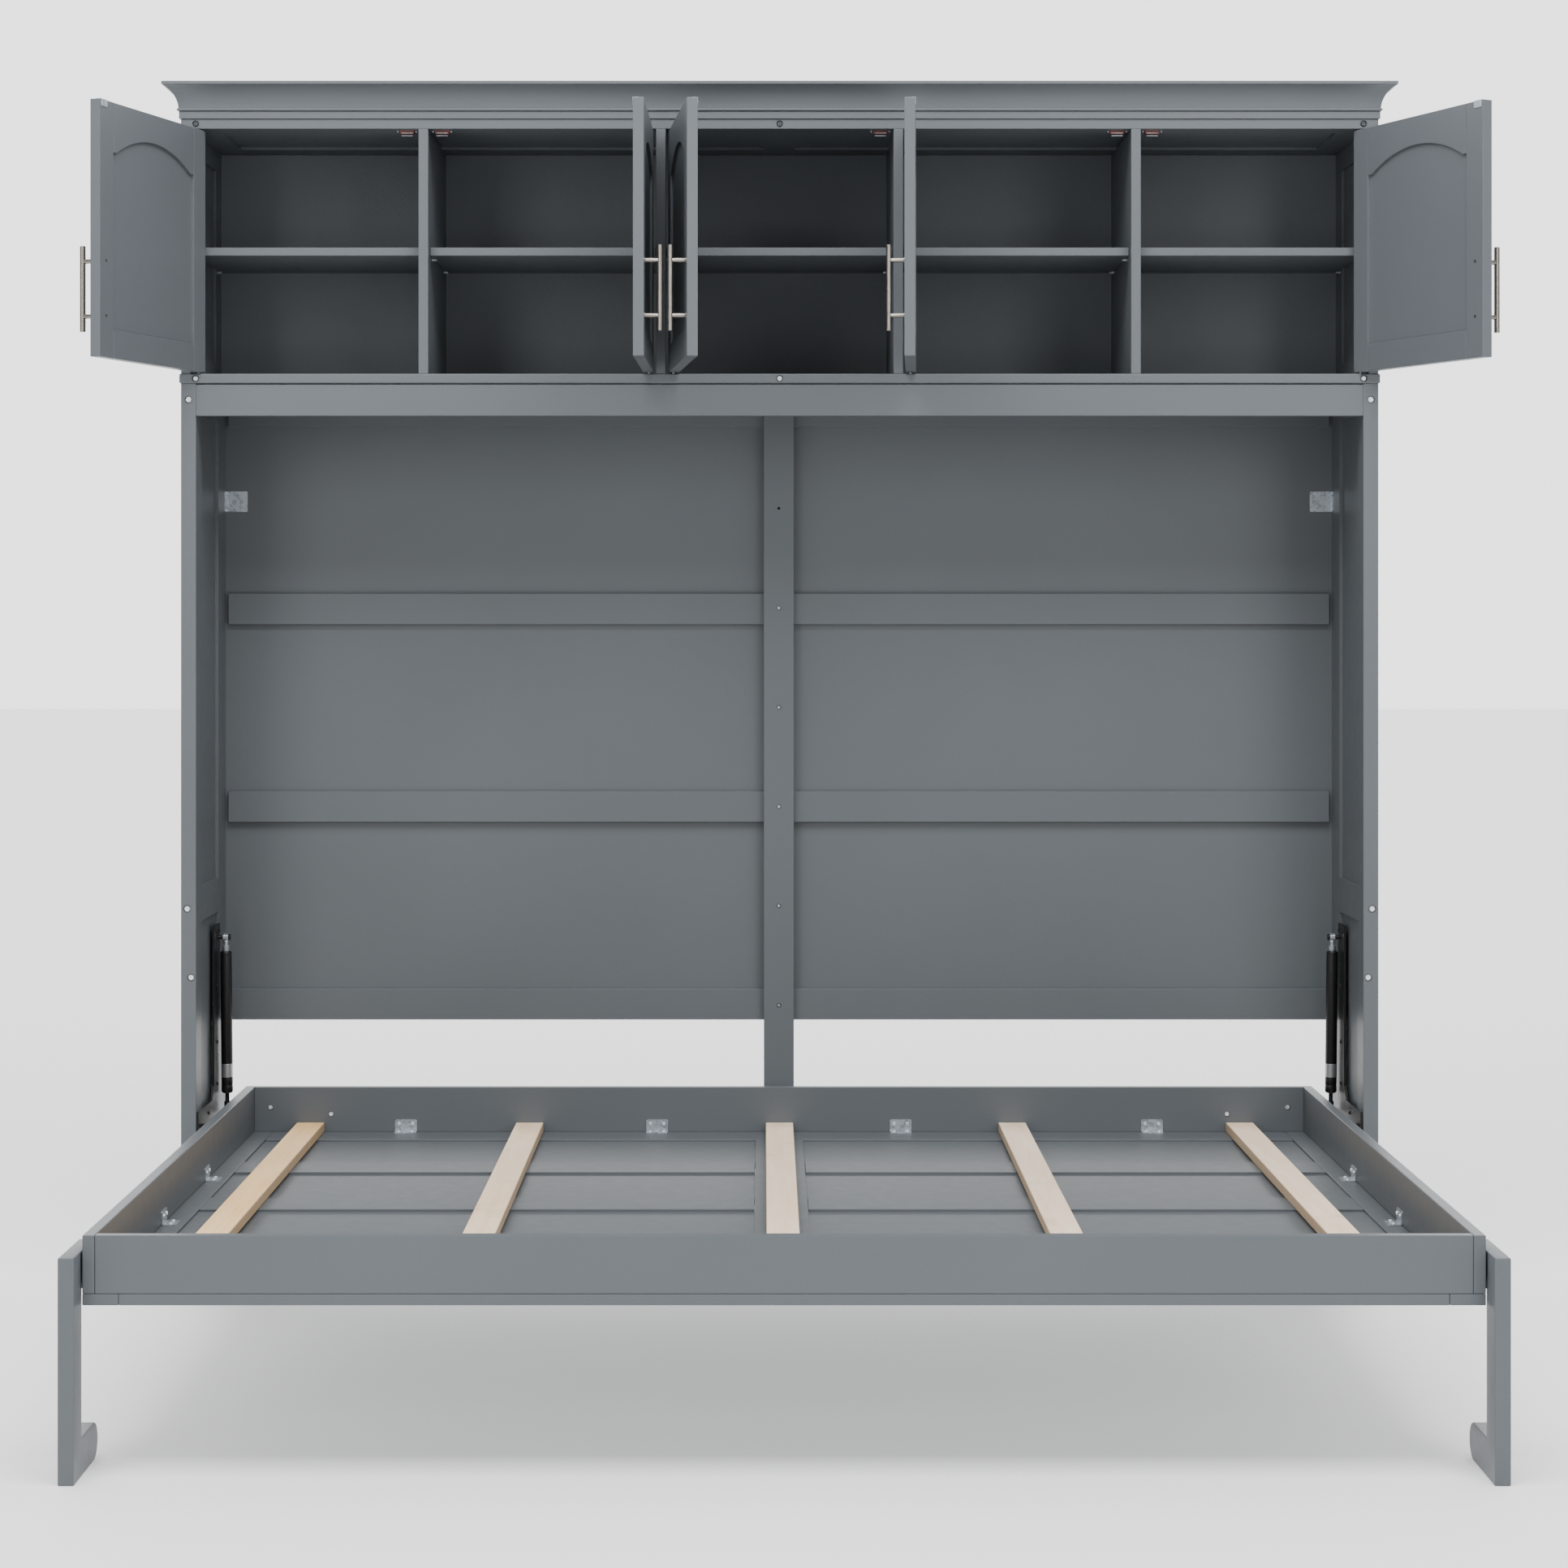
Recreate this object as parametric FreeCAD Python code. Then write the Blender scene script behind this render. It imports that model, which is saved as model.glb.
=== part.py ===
"""Horizontal wall bed with an arched-door cabinet above the bed housing.

Design coordinates, millimetres: X runs along the wall from the middle of the housing, Y runs from the
housing's front plane towards the wall, Z is up from the floor. Every piece is moved by one common offset
on export, so that the origin is the middle of the footprint, on the floor. The bed is down and the doors
stand open.
"""
import os

import FreeCAD
import Part

V = FreeCAD.Vector
os.makedirs("parts", exist_ok=True)

# ---- driving dimensions -------------------------------------------------------------------------
BOARD = 18.0                # thickness of cabinet boards and bed rails
ARRIS = 1.0                 # eased edge on every board

# housing (the lower, open box that the bed folds into)
HALF_WIDTH = 1107.5         # middle to the outer face of a side
SIDE_T = 28.0
DEPTH = 360.0
HOUSING_H = 1697.0
INNER_HALF = HALF_WIDTH - SIDE_T
STILE_FRONT = 59.0          # width of the front stile of a framed side
STILE_REAR = 255.0          # where the rear stile of a framed side starts
SIDE_PANEL_Z = ((100.0, 698.0), (763.0, 1640.0))
RECESS = 6.0                # depth of a framed recess
FRONT_BOLTS = ((1093.5, 1667.0), (1096.0, 725.0), (1088.7, 598.0))
BACK_PANEL_Y = 342.0
BACK_PANEL_T = 6.0
BACK_LET_IN = 1.0             # how far the back goes into a rebate in each side
BACK_RAIL_T = 12.0
BACK_RAIL_H = 60.0
BACK_RAIL_HALF = 1072.5
BACK_RAIL_Z = (480.5, 865.5, 1250.5, 1635.5)
STILE_HALF = 29.2
STILE_Y = BACK_PANEL_Y - BACK_RAIL_T - BOARD
STILE_SCREW_Z = (510.5, 703.5, 896.5, 1089.5, 1282.5)
WALL_HOLE_Z = 1476.0
WALL_HOLE_R = 2.5
VALANCE_Z = (1637.0, 1695.0)
CORNER_PLATE = (43.0, 40.0, 1.5)
CORNER_PLATE_Z = 1470.0
CORNER_PLATE_RETURN = 18.0      # width of the plate's leg on the side board

# upper cabinet
UPPER_INNER = HALF_WIDTH - BOARD
FLOOR_Z = HOUSING_H + BOARD          # inside floor of the upper cabinet
OPENING_H = 453.0
CEILING_Z = FLOOR_Z + OPENING_H
TOP_Z = CEILING_Z + BOARD
BAYS = 5
BAY_W = (2 * UPPER_INNER - (BAYS - 1) * BOARD) / BAYS
UPPER_BACK_T = 6.0
UPPER_RECESS = 5.0                   # depth of the recesses in the upper cabinet's sides and top
UPPER_FRAME_Y = (60.0, 290.0)
UPPER_FRAME_Z = 40.0
TOP_FRAME_Y = (60.0, 281.0)
TOP_FRAME_END = 50.0
BOTTOM_ROUND = 3.0                   # rounding of the bottom panel's edges
PANEL_SCREW_X = (-1080.0, 0.0, 1080.0)
PANEL_SCREW = (5.5, 2.5, 30.0)       # head radius, shank radius, length
UPPER_REBATE = 4.0                   # how far the back goes into each side
PANEL_LIP = 3.0                      # overhang of the bottom panel and the base strip
SHELF_T = 15.0
SHELF_Z = FLOOR_Z + 221.5            # underside of a shelf
SHELF_Y = 30.0
PIN_R = 2.5
PIN_Y = (80.0, 310.0)
CATCH = (41.0, 16.0, 13.0)
CATCH_Y = 22.0
STRIP_H = 14.0
CROWN_H = 52.0
CROWN_OUT = 31.0
CROWN_IN = 15.0

# doors
DOOR_T = 19.0
DOOR_GAP = 3.5
DOOR_Z = FLOOR_Z + 2.5
DOOR_H = OPENING_H - 5.0
DOOR_W = BAY_W - 2 * DOOR_GAP
DOOR_STILE = 50.0
DOOR_SHOULDER = 88.0                 # depth of the top rail at its ends
DOOR_PEAK = 52.0                     # depth of the top rail under the arch
SHOULDER_FLAT = 12.0
PANEL_T = 9.0
HINGE_INSET = 10.0                   # hinge pin from the hinge edge
HINGE_Y = 8.5                        # hinge pin behind the door's face, forward of its middle
HINGE_ROUND = (3.0, 4.0)             # rounding of the hinge edge, front and back
HINGE_PIN_R = 3.0
HINGE_PIN_L = 8.0                    # pin length inside the door
HINGE_PIN_SEAT = 5.0                 # pin length inside the cabinet
RUNNING_FIT = 0.05
# bay by bay: the side its hinge pins are on, and how far it stands open
DOORS = (("left", 106.6), ("right", 89.5), ("left", 83.9), ("left", 92.8), ("right", 112.5))
HANDLE_R = 5.0
HANDLE_L = 150.0
HANDLE_SPACING = 96.0
HANDLE_OUT = 27.0                    # bar centre from the door face
HANDLE_FROM_EDGE = 24.0
HANDLE_Z = 120.0
POST_R = 4.0
STRIKE_X = (DOOR_W - 26.0, DOOR_W - 4.0)
STRIKE_T = 1.2
STRIKE_H = 12.0
SCREW_R = 2.0

# bed
BED_HALF = 1031.0
BED_FRONT = -1274.0
BED_REAR = 290.0
BED_Z = 254.0                        # underside of the face board with the bed down
FACE_T = 17.0
RAIL_H = 86.0
FACE_SIDE = 53.0                     # border of the face board along its ends
FACE_REAR = 113.0
FACE_CROSS = 112.0
FACE_PANEL = 262.0
FACE_ROWS = 4
FACE_STILE_HALF = 45.0
FACE_PANEL_T = 8.0
SLAT_W = 53.0
SLAT_X = (-904.0, -481.0, 1.0, 450.0, 889.0)
RAIL_Z = BED_Z + FACE_T
INSIDE_HALF = BED_HALF - BOARD
REAR_BOLTS = ((982.0, 318.0), (865.0, 305.0))
BRACKET = (42.0, 24.0, 2.0)
BRACKET_X = (-720.0, -235.0, 235.0, 720.0)
BRACKET_Y = (-280.0, -706.0)

# mechanism
PIVOT = (53.0, 305.0)                # Y, Z of the bed's pivot pins
PIVOT_R = 8.0
BOSS_R = 15.0
PLATE_T = 4.0
MECHANISM_OUTLINE = ((183, 676), (249, 676), (249, 262), (8, 262), (8, 348), (160, 348), (183, 372))   # Y, Z
PIVOT_PLATE = (8.0, 285.0, 276.0, 340.0)      # Y and Z limits of the plate on the bed's end
PIVOT_COLLAR_R = 12.0
SPRING_TOP = (228.0, 651.0)
SPRING_LOW = (248.0, 320.0)
SPRING_X = 1061.0
SPRING_R = 11.0
SPRING_BORE = 9.0
SPRING_BODY = (27.0, 301.0)          # start and end of the cylinder, measured from the top stud
ROD_R = 4.0
STUD_R = 4.0
EYE_R = 7.0
EYE_HALF = 5.0

# legs
LEG_T = 24.0
LEG_GAP = 3.0
LEG_FRONT = -1319.0
LEG_POST = 57.0
LEG_H = 332.0
LEG_PIVOT_Y = -1170.5
LEG_R = LEG_POST / 2
LEG_PIVOT_Z = LEG_H - LEG_R
LEG_BOLT_R = 5.0
LEG_WASHER_R = 11.0
LEG_HEAD_R = 10.0


# ---- shapes used again and again ----------------------------------------------------------------
def box(x0, x1, y0, y1, z0, z1):
    return Part.makeBox(x1 - x0, y1 - y0, z1 - z0, V(x0, y0, z0))


def board(x0, x1, y0, y1, z0, z1, arris=ARRIS):
    solid = box(x0, x1, y0, y1, z0, z1)
    return solid.makeFillet(arris, solid.Edges)


def rod(radius, start, end):
    return Part.makeCylinder(radius, (end - start).Length, start, end - start)


def join(shapes):
    return shapes[0].multiFuse(shapes[1:]).removeSplitter()


def other_side(shape):
    return shape.mirror(V(0, 0, 0), V(1, 0, 0))


def prism(outline, direction):
    return Part.Face(Part.Wire(outline)).extrude(direction)


def polygon(points):
    return Part.makePolygon(points + points[:1]).Edges


pieces = {}


def keep(name, shape):
    pieces[name] = shape


def keep_pair(name, left_shape):
    keep(name + "_left", left_shape)
    keep(name + "_right", other_side(left_shape))


# ---- fasteners ----------------------------------------------------------------------------------
def flush_bolt(x, y, z, into, head_r=6.0, shank_r=3.0, length=40.0):
    """A socket-head bolt sunk flush; into is the direction it is driven."""
    head = rod(head_r, V(x, y, z) + into * 1.0, V(x, y, z) + into * 4.0)
    shank = rod(shank_r, V(x, y, z) + into * 4.0, V(x, y, z) + into * length)
    socket = rod(head_r / 2.4, V(x, y, z), V(x, y, z) + into * 2.6)
    return join([head, shank]).cut(socket)


def bolt_seat(x, y, z, into, head_r=6.0, shank_r=3.0, length=40.0):
    seat = rod(head_r + 1.0, V(x, y, z) - into, V(x, y, z) + into * 4.0)
    hole = rod(shank_r, V(x, y, z) + into * 4.0, V(x, y, z) + into * length)
    return join([seat, hole])


BACKWARD = V(0, 1, 0)
UP = V(0, 0, 1)


# ---- housing ------------------------------------------------------------------------------------
def housing_side():
    side = board(-HALF_WIDTH, -INNER_HALF, 0, DEPTH, 0, HOUSING_H)
    for low, high in SIDE_PANEL_Z:
        side = side.cut(box(-INNER_HALF - RECESS, -INNER_HALF + 1, STILE_FRONT, STILE_REAR, low, high))
        side = side.cut(box(-HALF_WIDTH - 1, -HALF_WIDTH + RECESS, STILE_FRONT, STILE_REAR, low, high))
    rebate = box(-INNER_HALF - BACK_LET_IN, -INNER_HALF + 1, BACK_PANEL_Y, DEPTH + 1, BACK_RAIL_Z[0],
                 HOUSING_H + 1)
    side = side.cut(rebate)
    for x, z in FRONT_BOLTS:
        side = side.cut(bolt_seat(-x, 0, z, BACKWARD))
    return side


keep_pair("housing_side", housing_side())

half_back = board(-INNER_HALF - BACK_LET_IN, 0, BACK_PANEL_Y, BACK_PANEL_Y + BACK_PANEL_T, BACK_RAIL_Z[0],
                  HOUSING_H)
keep_pair("housing_back", half_back)

back_rails = []
for low in BACK_RAIL_Z:
    back_rails.append(board(-BACK_RAIL_HALF, BACK_RAIL_HALF, BACK_PANEL_Y - BACK_RAIL_T, BACK_PANEL_Y,
                            low, low + BACK_RAIL_H))

stile = board(-STILE_HALF, STILE_HALF, STILE_Y, STILE_Y + BOARD, 0, HOUSING_H)
stile = stile.cut(rod(WALL_HOLE_R, V(0, STILE_Y - 1, WALL_HOLE_Z), V(0, STILE_Y + BOARD + 1, WALL_HOLE_Z)))
stile_screws = []
for z in STILE_SCREW_Z:
    stile = stile.cut(bolt_seat(0, STILE_Y, z, BACKWARD, 3.5, 1.8, 16.0))
    stile_screws.append(flush_bolt(0, STILE_Y, z, BACKWARD, 3.5, 1.8, 16.0))
keep("back_rails", Part.makeCompound(back_rails))
keep("centre_stile", stile)
keep("stile_screws", Part.makeCompound(stile_screws))

keep("valance", board(-INNER_HALF, INNER_HALF, 0, BOARD, VALANCE_Z[0], VALANCE_Z[1]))


def corner_plate():
    """Bent steel angle that ties the back to a side at the rear corner."""
    width, height, thick = CORNER_PLATE
    x = -INNER_HALF
    low = CORNER_PLATE_Z
    high = low + height
    back = box(x, x + width, BACK_PANEL_Y - thick, BACK_PANEL_Y, low, high)
    side = box(x, x + thick, BACK_PANEL_Y - CORNER_PLATE_RETURN, BACK_PANEL_Y, low, high)
    return join([back, side])


plate = corner_plate()
keep("corner_plates", Part.makeCompound([plate, other_side(plate)]))


# ---- upper cabinet ------------------------------------------------------------------------------
def bay_left(bay):
    return -UPPER_INNER + bay * (BAY_W + BOARD)


def hinge_x(bay):
    """X of a door's hinge pins: just inside the bay, on the side that carries the door."""
    inset = DOOR_GAP + HINGE_INSET
    if DOORS[bay][0] == "left":
        return bay_left(bay) + inset
    return bay_left(bay) + BAY_W - inset


hinge_pins = []
for bay in range(BAYS):
    x = hinge_x(bay)
    low_end = V(x, HINGE_Y, FLOOR_Z - HINGE_PIN_SEAT)
    hinge_pins.append(rod(HINGE_PIN_R, low_end, V(x, HINGE_Y, DOOR_Z + HINGE_PIN_L)))
    high_end = V(x, HINGE_Y, CEILING_Z + HINGE_PIN_SEAT)
    hinge_pins.append(rod(HINGE_PIN_R, V(x, HINGE_Y, DOOR_Z + DOOR_H - HINGE_PIN_L), high_end))

shelf_pins = []
pin_z = SHELF_Z - PIN_R
for bay in range(BAYS):
    for y in PIN_Y:
        for wall, inward in ((bay_left(bay), 1), (bay_left(bay) + BAY_W, -1)):
            shelf_pins.append(rod(PIN_R, V(wall - 7 * inward, y, pin_z), V(wall + 8 * inward, y, pin_z)))

upper_side = board(-HALF_WIDTH, -UPPER_INNER, 0, DEPTH, FLOOR_Z, CEILING_Z)
recess = box(-UPPER_INNER - UPPER_RECESS, -UPPER_INNER + 1, UPPER_FRAME_Y[0], UPPER_FRAME_Y[1],
             FLOOR_Z + UPPER_FRAME_Z, CEILING_Z - UPPER_FRAME_Z)
upper_side = upper_side.cut(recess)
rebate = box(-UPPER_INNER - UPPER_REBATE, -UPPER_INNER + 1, DEPTH - UPPER_BACK_T, DEPTH + 1, FLOOR_Z - 1,
             CEILING_Z + 1)
upper_side = upper_side.cut(rebate)
keep("upper_side_left", upper_side.cut(shelf_pins))
keep("upper_side_right", other_side(upper_side).cut(shelf_pins))

for number in range(1, BAYS):
    x = bay_left(number)
    partition = board(x - BOARD, x, 0, DEPTH - UPPER_BACK_T, FLOOR_Z, CEILING_Z)
    keep("partition_%d" % number, partition.cut(shelf_pins))

top_panel = board(-HALF_WIDTH, HALF_WIDTH, 0, DEPTH, CEILING_Z, TOP_Z)
for side in (-1, 1):
    near, far = sorted((side * STILE_HALF, side * (UPPER_INNER - TOP_FRAME_END)))
    top_panel = top_panel.cut(box(near, far, TOP_FRAME_Y[0], TOP_FRAME_Y[1], CEILING_Z - 1,
                                  CEILING_Z + UPPER_RECESS))
bottom_panel = board(-HALF_WIDTH - PANEL_LIP, HALF_WIDTH + PANEL_LIP, -PANEL_LIP, DEPTH, HOUSING_H, FLOOR_Z,
                     BOTTOM_ROUND)
panel_screws = []
for x in PANEL_SCREW_X:
    place = (x, -PANEL_LIP, HOUSING_H + BOARD / 2, BACKWARD, *PANEL_SCREW)
    bottom_panel = bottom_panel.cut(bolt_seat(*place))
    panel_screws.append(flush_bolt(*place))
    place = (x, 0, CEILING_Z + BOARD / 2, BACKWARD, *PANEL_SCREW)
    top_panel = top_panel.cut(bolt_seat(*place))
    panel_screws.append(flush_bolt(*place))
for side in (-1, 1):
    for x, z in FRONT_BOLTS:
        panel_screws.append(flush_bolt(side * x, 0, z, BACKWARD))
keep("upper_top_panel", top_panel.cut(hinge_pins))
keep("upper_bottom_panel", bottom_panel.cut(hinge_pins))
back_half = UPPER_INNER + UPPER_REBATE
keep("upper_back_panel", board(-back_half, back_half, DEPTH - UPPER_BACK_T, DEPTH, FLOOR_Z, CEILING_Z))
keep("cabinet_bolts", Part.makeCompound(panel_screws))
keep("door_hinge_pins", Part.makeCompound(hinge_pins))
keep("shelf_pins", Part.makeCompound(shelf_pins))

shelves = []
for bay in range(BAYS):
    x = bay_left(bay)
    shelves.append(board(x + 1, x + BAY_W - 1, SHELF_Y, DEPTH - UPPER_BACK_T - 4, SHELF_Z, SHELF_Z + SHELF_T))
keep("shelves", Part.makeCompound(shelves))

catches = []
for bay, (hinge, _) in enumerate(DOORS):
    if hinge == "left":
        start = bay_left(bay) + BAY_W - CATCH[0] - 3
    else:
        start = bay_left(bay) + 3
    end = start + CATCH[0]
    catches.append(board(start, end, CATCH_Y, CATCH_Y + CATCH[1], CEILING_Z - CATCH[2], CEILING_Z))
keep("magnetic_catches", Part.makeCompound(catches))


def mitred_frame(profile, reach):
    """Runs a profile along the front and both ends, mitred at the corners.

    profile gives edges in the plane X = 0, with outward towards -Y and Y = 0 on the cabinet's face."""
    long_side = HALF_WIDTH + reach
    front = prism([edge.translated(V(-long_side, 0, 0)) for edge in profile], V(2 * long_side, 0, 0))
    far = 2 * long_side
    inside = polygon([V(-long_side, -reach, 0), V(long_side, -reach, 0), V(0, long_side - reach, 0)])
    wedge = prism([edge.translated(V(0, 0, TOP_Z - 1)) for edge in inside], V(0, 0, CROWN_H + STRIP_H + 2))
    front = front.common(wedge)
    end = prism([edge.translated(V(-far, 0, 0)) for edge in profile], V(2 * far, 0, 0))
    end = end.rotated(V(0, 0, 0), UP, -90).translated(V(-HALF_WIDTH, 0, 0))
    end = end.common(box(-far, 0, -reach, DEPTH, TOP_Z - 1, TOP_Z + CROWN_H + STRIP_H + 1)).cut(wedge)
    return Part.makeCompound([front, end, other_side(end)])


STRIP_TOP = TOP_Z + STRIP_H
CROWN_TOP = STRIP_TOP + CROWN_H
strip_profile = polygon([V(0, CROWN_IN, TOP_Z), V(0, -PANEL_LIP, TOP_Z), V(0, -PANEL_LIP, STRIP_TOP),
                         V(0, CROWN_IN, STRIP_TOP)])
keep("crown_base_strip", mitred_frame(strip_profile, PANEL_LIP))

bead_out = 6.0
bead_h = 5.5
cove_in = 4.0
lip_h = 6.0
bead_low = V(0, -bead_out + 2, STRIP_TOP)
bead_mid = V(0, -bead_out - 0.7, STRIP_TOP + bead_h / 2)
cove_low = V(0, -cove_in, STRIP_TOP + bead_h)
cove_mid = V(0, -cove_in - 6.5, STRIP_TOP + bead_h + 22)
cove_high = V(0, -CROWN_OUT + 2, CROWN_TOP - lip_h)
crown_profile = [
    Part.makeLine(V(0, CROWN_IN, STRIP_TOP), bead_low),
    Part.Arc(bead_low, bead_mid, cove_low).toShape(),
    Part.Arc(cove_low, cove_mid, cove_high).toShape(),
    Part.makeLine(cove_high, V(0, -CROWN_OUT, CROWN_TOP - lip_h)),
    Part.makeLine(V(0, -CROWN_OUT, CROWN_TOP - lip_h), V(0, -CROWN_OUT, CROWN_TOP)),
    Part.makeLine(V(0, -CROWN_OUT, CROWN_TOP), V(0, CROWN_IN, CROWN_TOP)),
    Part.makeLine(V(0, CROWN_IN, CROWN_TOP), V(0, CROWN_IN, STRIP_TOP)),
]
keep("crown_moulding", mitred_frame(crown_profile, CROWN_OUT))


# ---- doors --------------------------------------------------------------------------------------
def door_opening():
    """Outline of the arched panel opening, in a door whose hinge edge is at X = 0 and foot at Z = 0."""
    left = DOOR_STILE
    right = DOOR_W - DOOR_STILE
    shoulder = DOOR_H - DOOR_SHOULDER
    spring_left = V(left + SHOULDER_FLAT, 0, shoulder)
    spring_right = V(right - SHOULDER_FLAT, 0, shoulder)
    peak = V(DOOR_W / 2, 0, DOOR_H - DOOR_PEAK)
    return [
        Part.makeLine(V(left, 0, DOOR_STILE), V(right, 0, DOOR_STILE)),
        Part.makeLine(V(right, 0, DOOR_STILE), V(right, 0, shoulder)),
        Part.makeLine(V(right, 0, shoulder), spring_right),
        Part.Arc(spring_right, peak, spring_left).toShape(),
        Part.makeLine(spring_left, V(left, 0, shoulder)),
        Part.makeLine(V(left, 0, shoulder), V(left, 0, DOOR_STILE)),
    ]


HANDLE_X = DOOR_W - HANDLE_FROM_EDGE
POSTS_Z = (HANDLE_Z - HANDLE_SPACING / 2, HANDLE_Z + HANDLE_SPACING / 2)
HANDLE_SCREW_END = DOOR_T - 1.5


def door_frame():
    slab = box(0, DOOR_W, 0, DOOR_T, 0, DOOR_H)
    for depth, radius in ((0, HINGE_ROUND[0]), (DOOR_T, HINGE_ROUND[1])):
        line = V(0, depth, DOOR_H / 2)
        slab = slab.makeFillet(radius, [edge for edge in slab.Edges if (edge.CenterOfMass - line).Length < 1])
    slab = slab.cut(prism(door_opening(), V(0, DOOR_T, 0)))
    for low in (-1, DOOR_H - HINGE_PIN_L - 0.5):
        start = V(HINGE_INSET, HINGE_Y, low)
        slab = slab.cut(rod(HINGE_PIN_R + RUNNING_FIT, start, start + UP * (HINGE_PIN_L + 1.5)))
    for z in POSTS_Z:
        slab = slab.cut(rod(SCREW_R, V(HANDLE_X, -1, z), V(HANDLE_X, DOOR_T + 1, z)))
        slab = slab.cut(rod(4.0, V(HANDLE_X, HANDLE_SCREW_END - 3, z), V(HANDLE_X, DOOR_T + 1, z)))
    slab = slab.cut(box(*STRIKE_X, DOOR_T - STRIKE_T, DOOR_T + 1, DOOR_H - STRIKE_H, DOOR_H + 1))
    return slab


def door_panel():
    start = (DOOR_T - PANEL_T) / 2
    return prism([edge.translated(V(0, start, 0)) for edge in door_opening()], V(0, PANEL_T, 0))


def door_fittings():
    """Bar handle on two posts, its screws from behind, and the steel strike for the magnet."""
    bar_y = -HANDLE_OUT
    bar_low = V(HANDLE_X, bar_y, HANDLE_Z - HANDLE_L / 2)
    bar = rod(HANDLE_R, bar_low, bar_low + UP * HANDLE_L)
    handle = [bar]
    for z in POSTS_Z:
        handle.append(rod(POST_R, V(HANDLE_X, 0, z), V(HANDLE_X, bar_y, z)))
        handle.append(rod(SCREW_R, V(HANDLE_X, 0, z), V(HANDLE_X, HANDLE_SCREW_END, z)))
        handle.append(rod(4.0, V(HANDLE_X, HANDLE_SCREW_END - 3, z), V(HANDLE_X, HANDLE_SCREW_END, z)))
    strike = box(*STRIKE_X, DOOR_T - STRIKE_T, DOOR_T, DOOR_H - STRIKE_H, DOOR_H)
    return Part.makeCompound([join(handle), strike])


def hang(shape, bay):
    """Puts a door piece on its hinge pins and swings it open."""
    hinge, angle = DOORS[bay]
    placed = shape.translated(V(-HINGE_INSET, 0, DOOR_Z))
    if hinge == "right":
        placed = other_side(placed)
        angle = -angle
    return placed.rotated(V(0, HINGE_Y, 0), UP, -angle).translated(V(hinge_x(bay), 0, 0))


frame = door_frame()
panel = door_panel()
fittings = door_fittings()
for bay in range(BAYS):
    keep("door_%d_frame" % (bay + 1), hang(frame, bay))
    keep("door_%d_panel" % (bay + 1), hang(panel, bay))
    keep("door_%d_fittings" % (bay + 1), hang(fittings, bay))


# ---- bed ----------------------------------------------------------------------------------------
RAIL_TOP = RAIL_Z + RAIL_H
side_rail = board(-BED_HALF, -INSIDE_HALF, BED_FRONT, BED_REAR, RAIL_Z, RAIL_TOP)
keep_pair("bed_rail", side_rail)
keep("bed_rail_front", board(-INSIDE_HALF, INSIDE_HALF, BED_FRONT, BED_FRONT + BOARD, RAIL_Z, RAIL_TOP))
rear_rail = board(-INSIDE_HALF, INSIDE_HALF, BED_REAR - BOARD, BED_REAR, RAIL_Z, RAIL_TOP)

face_openings = []
for row in range(FACE_ROWS):
    high_y = BED_REAR - FACE_REAR - row * (FACE_PANEL + FACE_CROSS)
    for side in (-1, 1):
        near, far = sorted((side * FACE_STILE_HALF, side * (BED_HALF - FACE_SIDE)))
        face_openings.append((near, far, high_y - FACE_PANEL, high_y))

face_frame = board(-BED_HALF, BED_HALF, BED_FRONT, BED_REAR, BED_Z, RAIL_Z)
face_panels = []
panel_z = BED_Z + (FACE_T - FACE_PANEL_T) / 2
for x0, x1, y0, y1 in face_openings:
    face_frame = face_frame.cut(box(x0, x1, y0, y1, BED_Z - 1, RAIL_Z + 1))
    face_panels.append(box(x0, x1, y0, y1, panel_z, panel_z + FACE_PANEL_T))
keep("face_board_frame", face_frame)
keep("face_board_panels", Part.makeCompound(face_panels))

slats = []
for x in SLAT_X:
    slats.append(board(x - SLAT_W / 2, x + SLAT_W / 2, BED_FRONT + BOARD + 2, BED_REAR - BOARD - 2,
                       RAIL_Z, RAIL_Z + BOARD))
keep("bed_slats", Part.makeCompound(slats))


def bracket(x, y, turn):
    """Steel angle between a rail and the face board; turn 0 has the rail on its +Y side."""
    width, leg, thick = BRACKET
    upright = box(-width / 2, width / 2, -thick, 0, 0, leg)
    foot = box(-width / 2, width / 2, -leg, 0, 0, thick)
    angle = join([upright, foot])
    for side in (-1, 1):
        angle = angle.cut(rod(2.5, V(side * width / 4, -leg / 2, -1), V(side * width / 4, -leg / 2, 5)))
        angle = angle.cut(rod(2.5, V(side * width / 4, -5, leg * 0.6), V(side * width / 4, 5, leg * 0.6)))
    return angle.rotated(V(0, 0, 0), UP, turn).translated(V(x, y, RAIL_Z))


brackets = []
for x in BRACKET_X:
    brackets.append(bracket(x, BED_REAR - BOARD, 0))
    brackets.append(bracket(x, BED_FRONT + BOARD, 180))
for y in BRACKET_Y:
    brackets.append(bracket(-INSIDE_HALF, y, 90))
    brackets.append(bracket(INSIDE_HALF, y, -90))
keep("bed_brackets", Part.makeCompound(brackets))

bed_bolts = []
for x, z in REAR_BOLTS:
    for side in (-1, 1):
        place = (side * x, BED_REAR - BOARD, z, BACKWARD, 4.5, 2.5, BOARD)
        rear_rail = rear_rail.cut(bolt_seat(*place))
        bed_bolts.append(flush_bolt(*place))
keep("bed_rail_rear", rear_rail)
keep("bed_bolts", Part.makeCompound(bed_bolts))


# ---- pivots, gas springs ------------------------------------------------------------------------
PLATE_FACE = INNER_HALF - PLATE_T
BED_PLATE_T = 3.0
COLLAR_END = SPRING_X + 0.5


def side_point(x, place):
    return V(-x, place[0], place[1])


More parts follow.
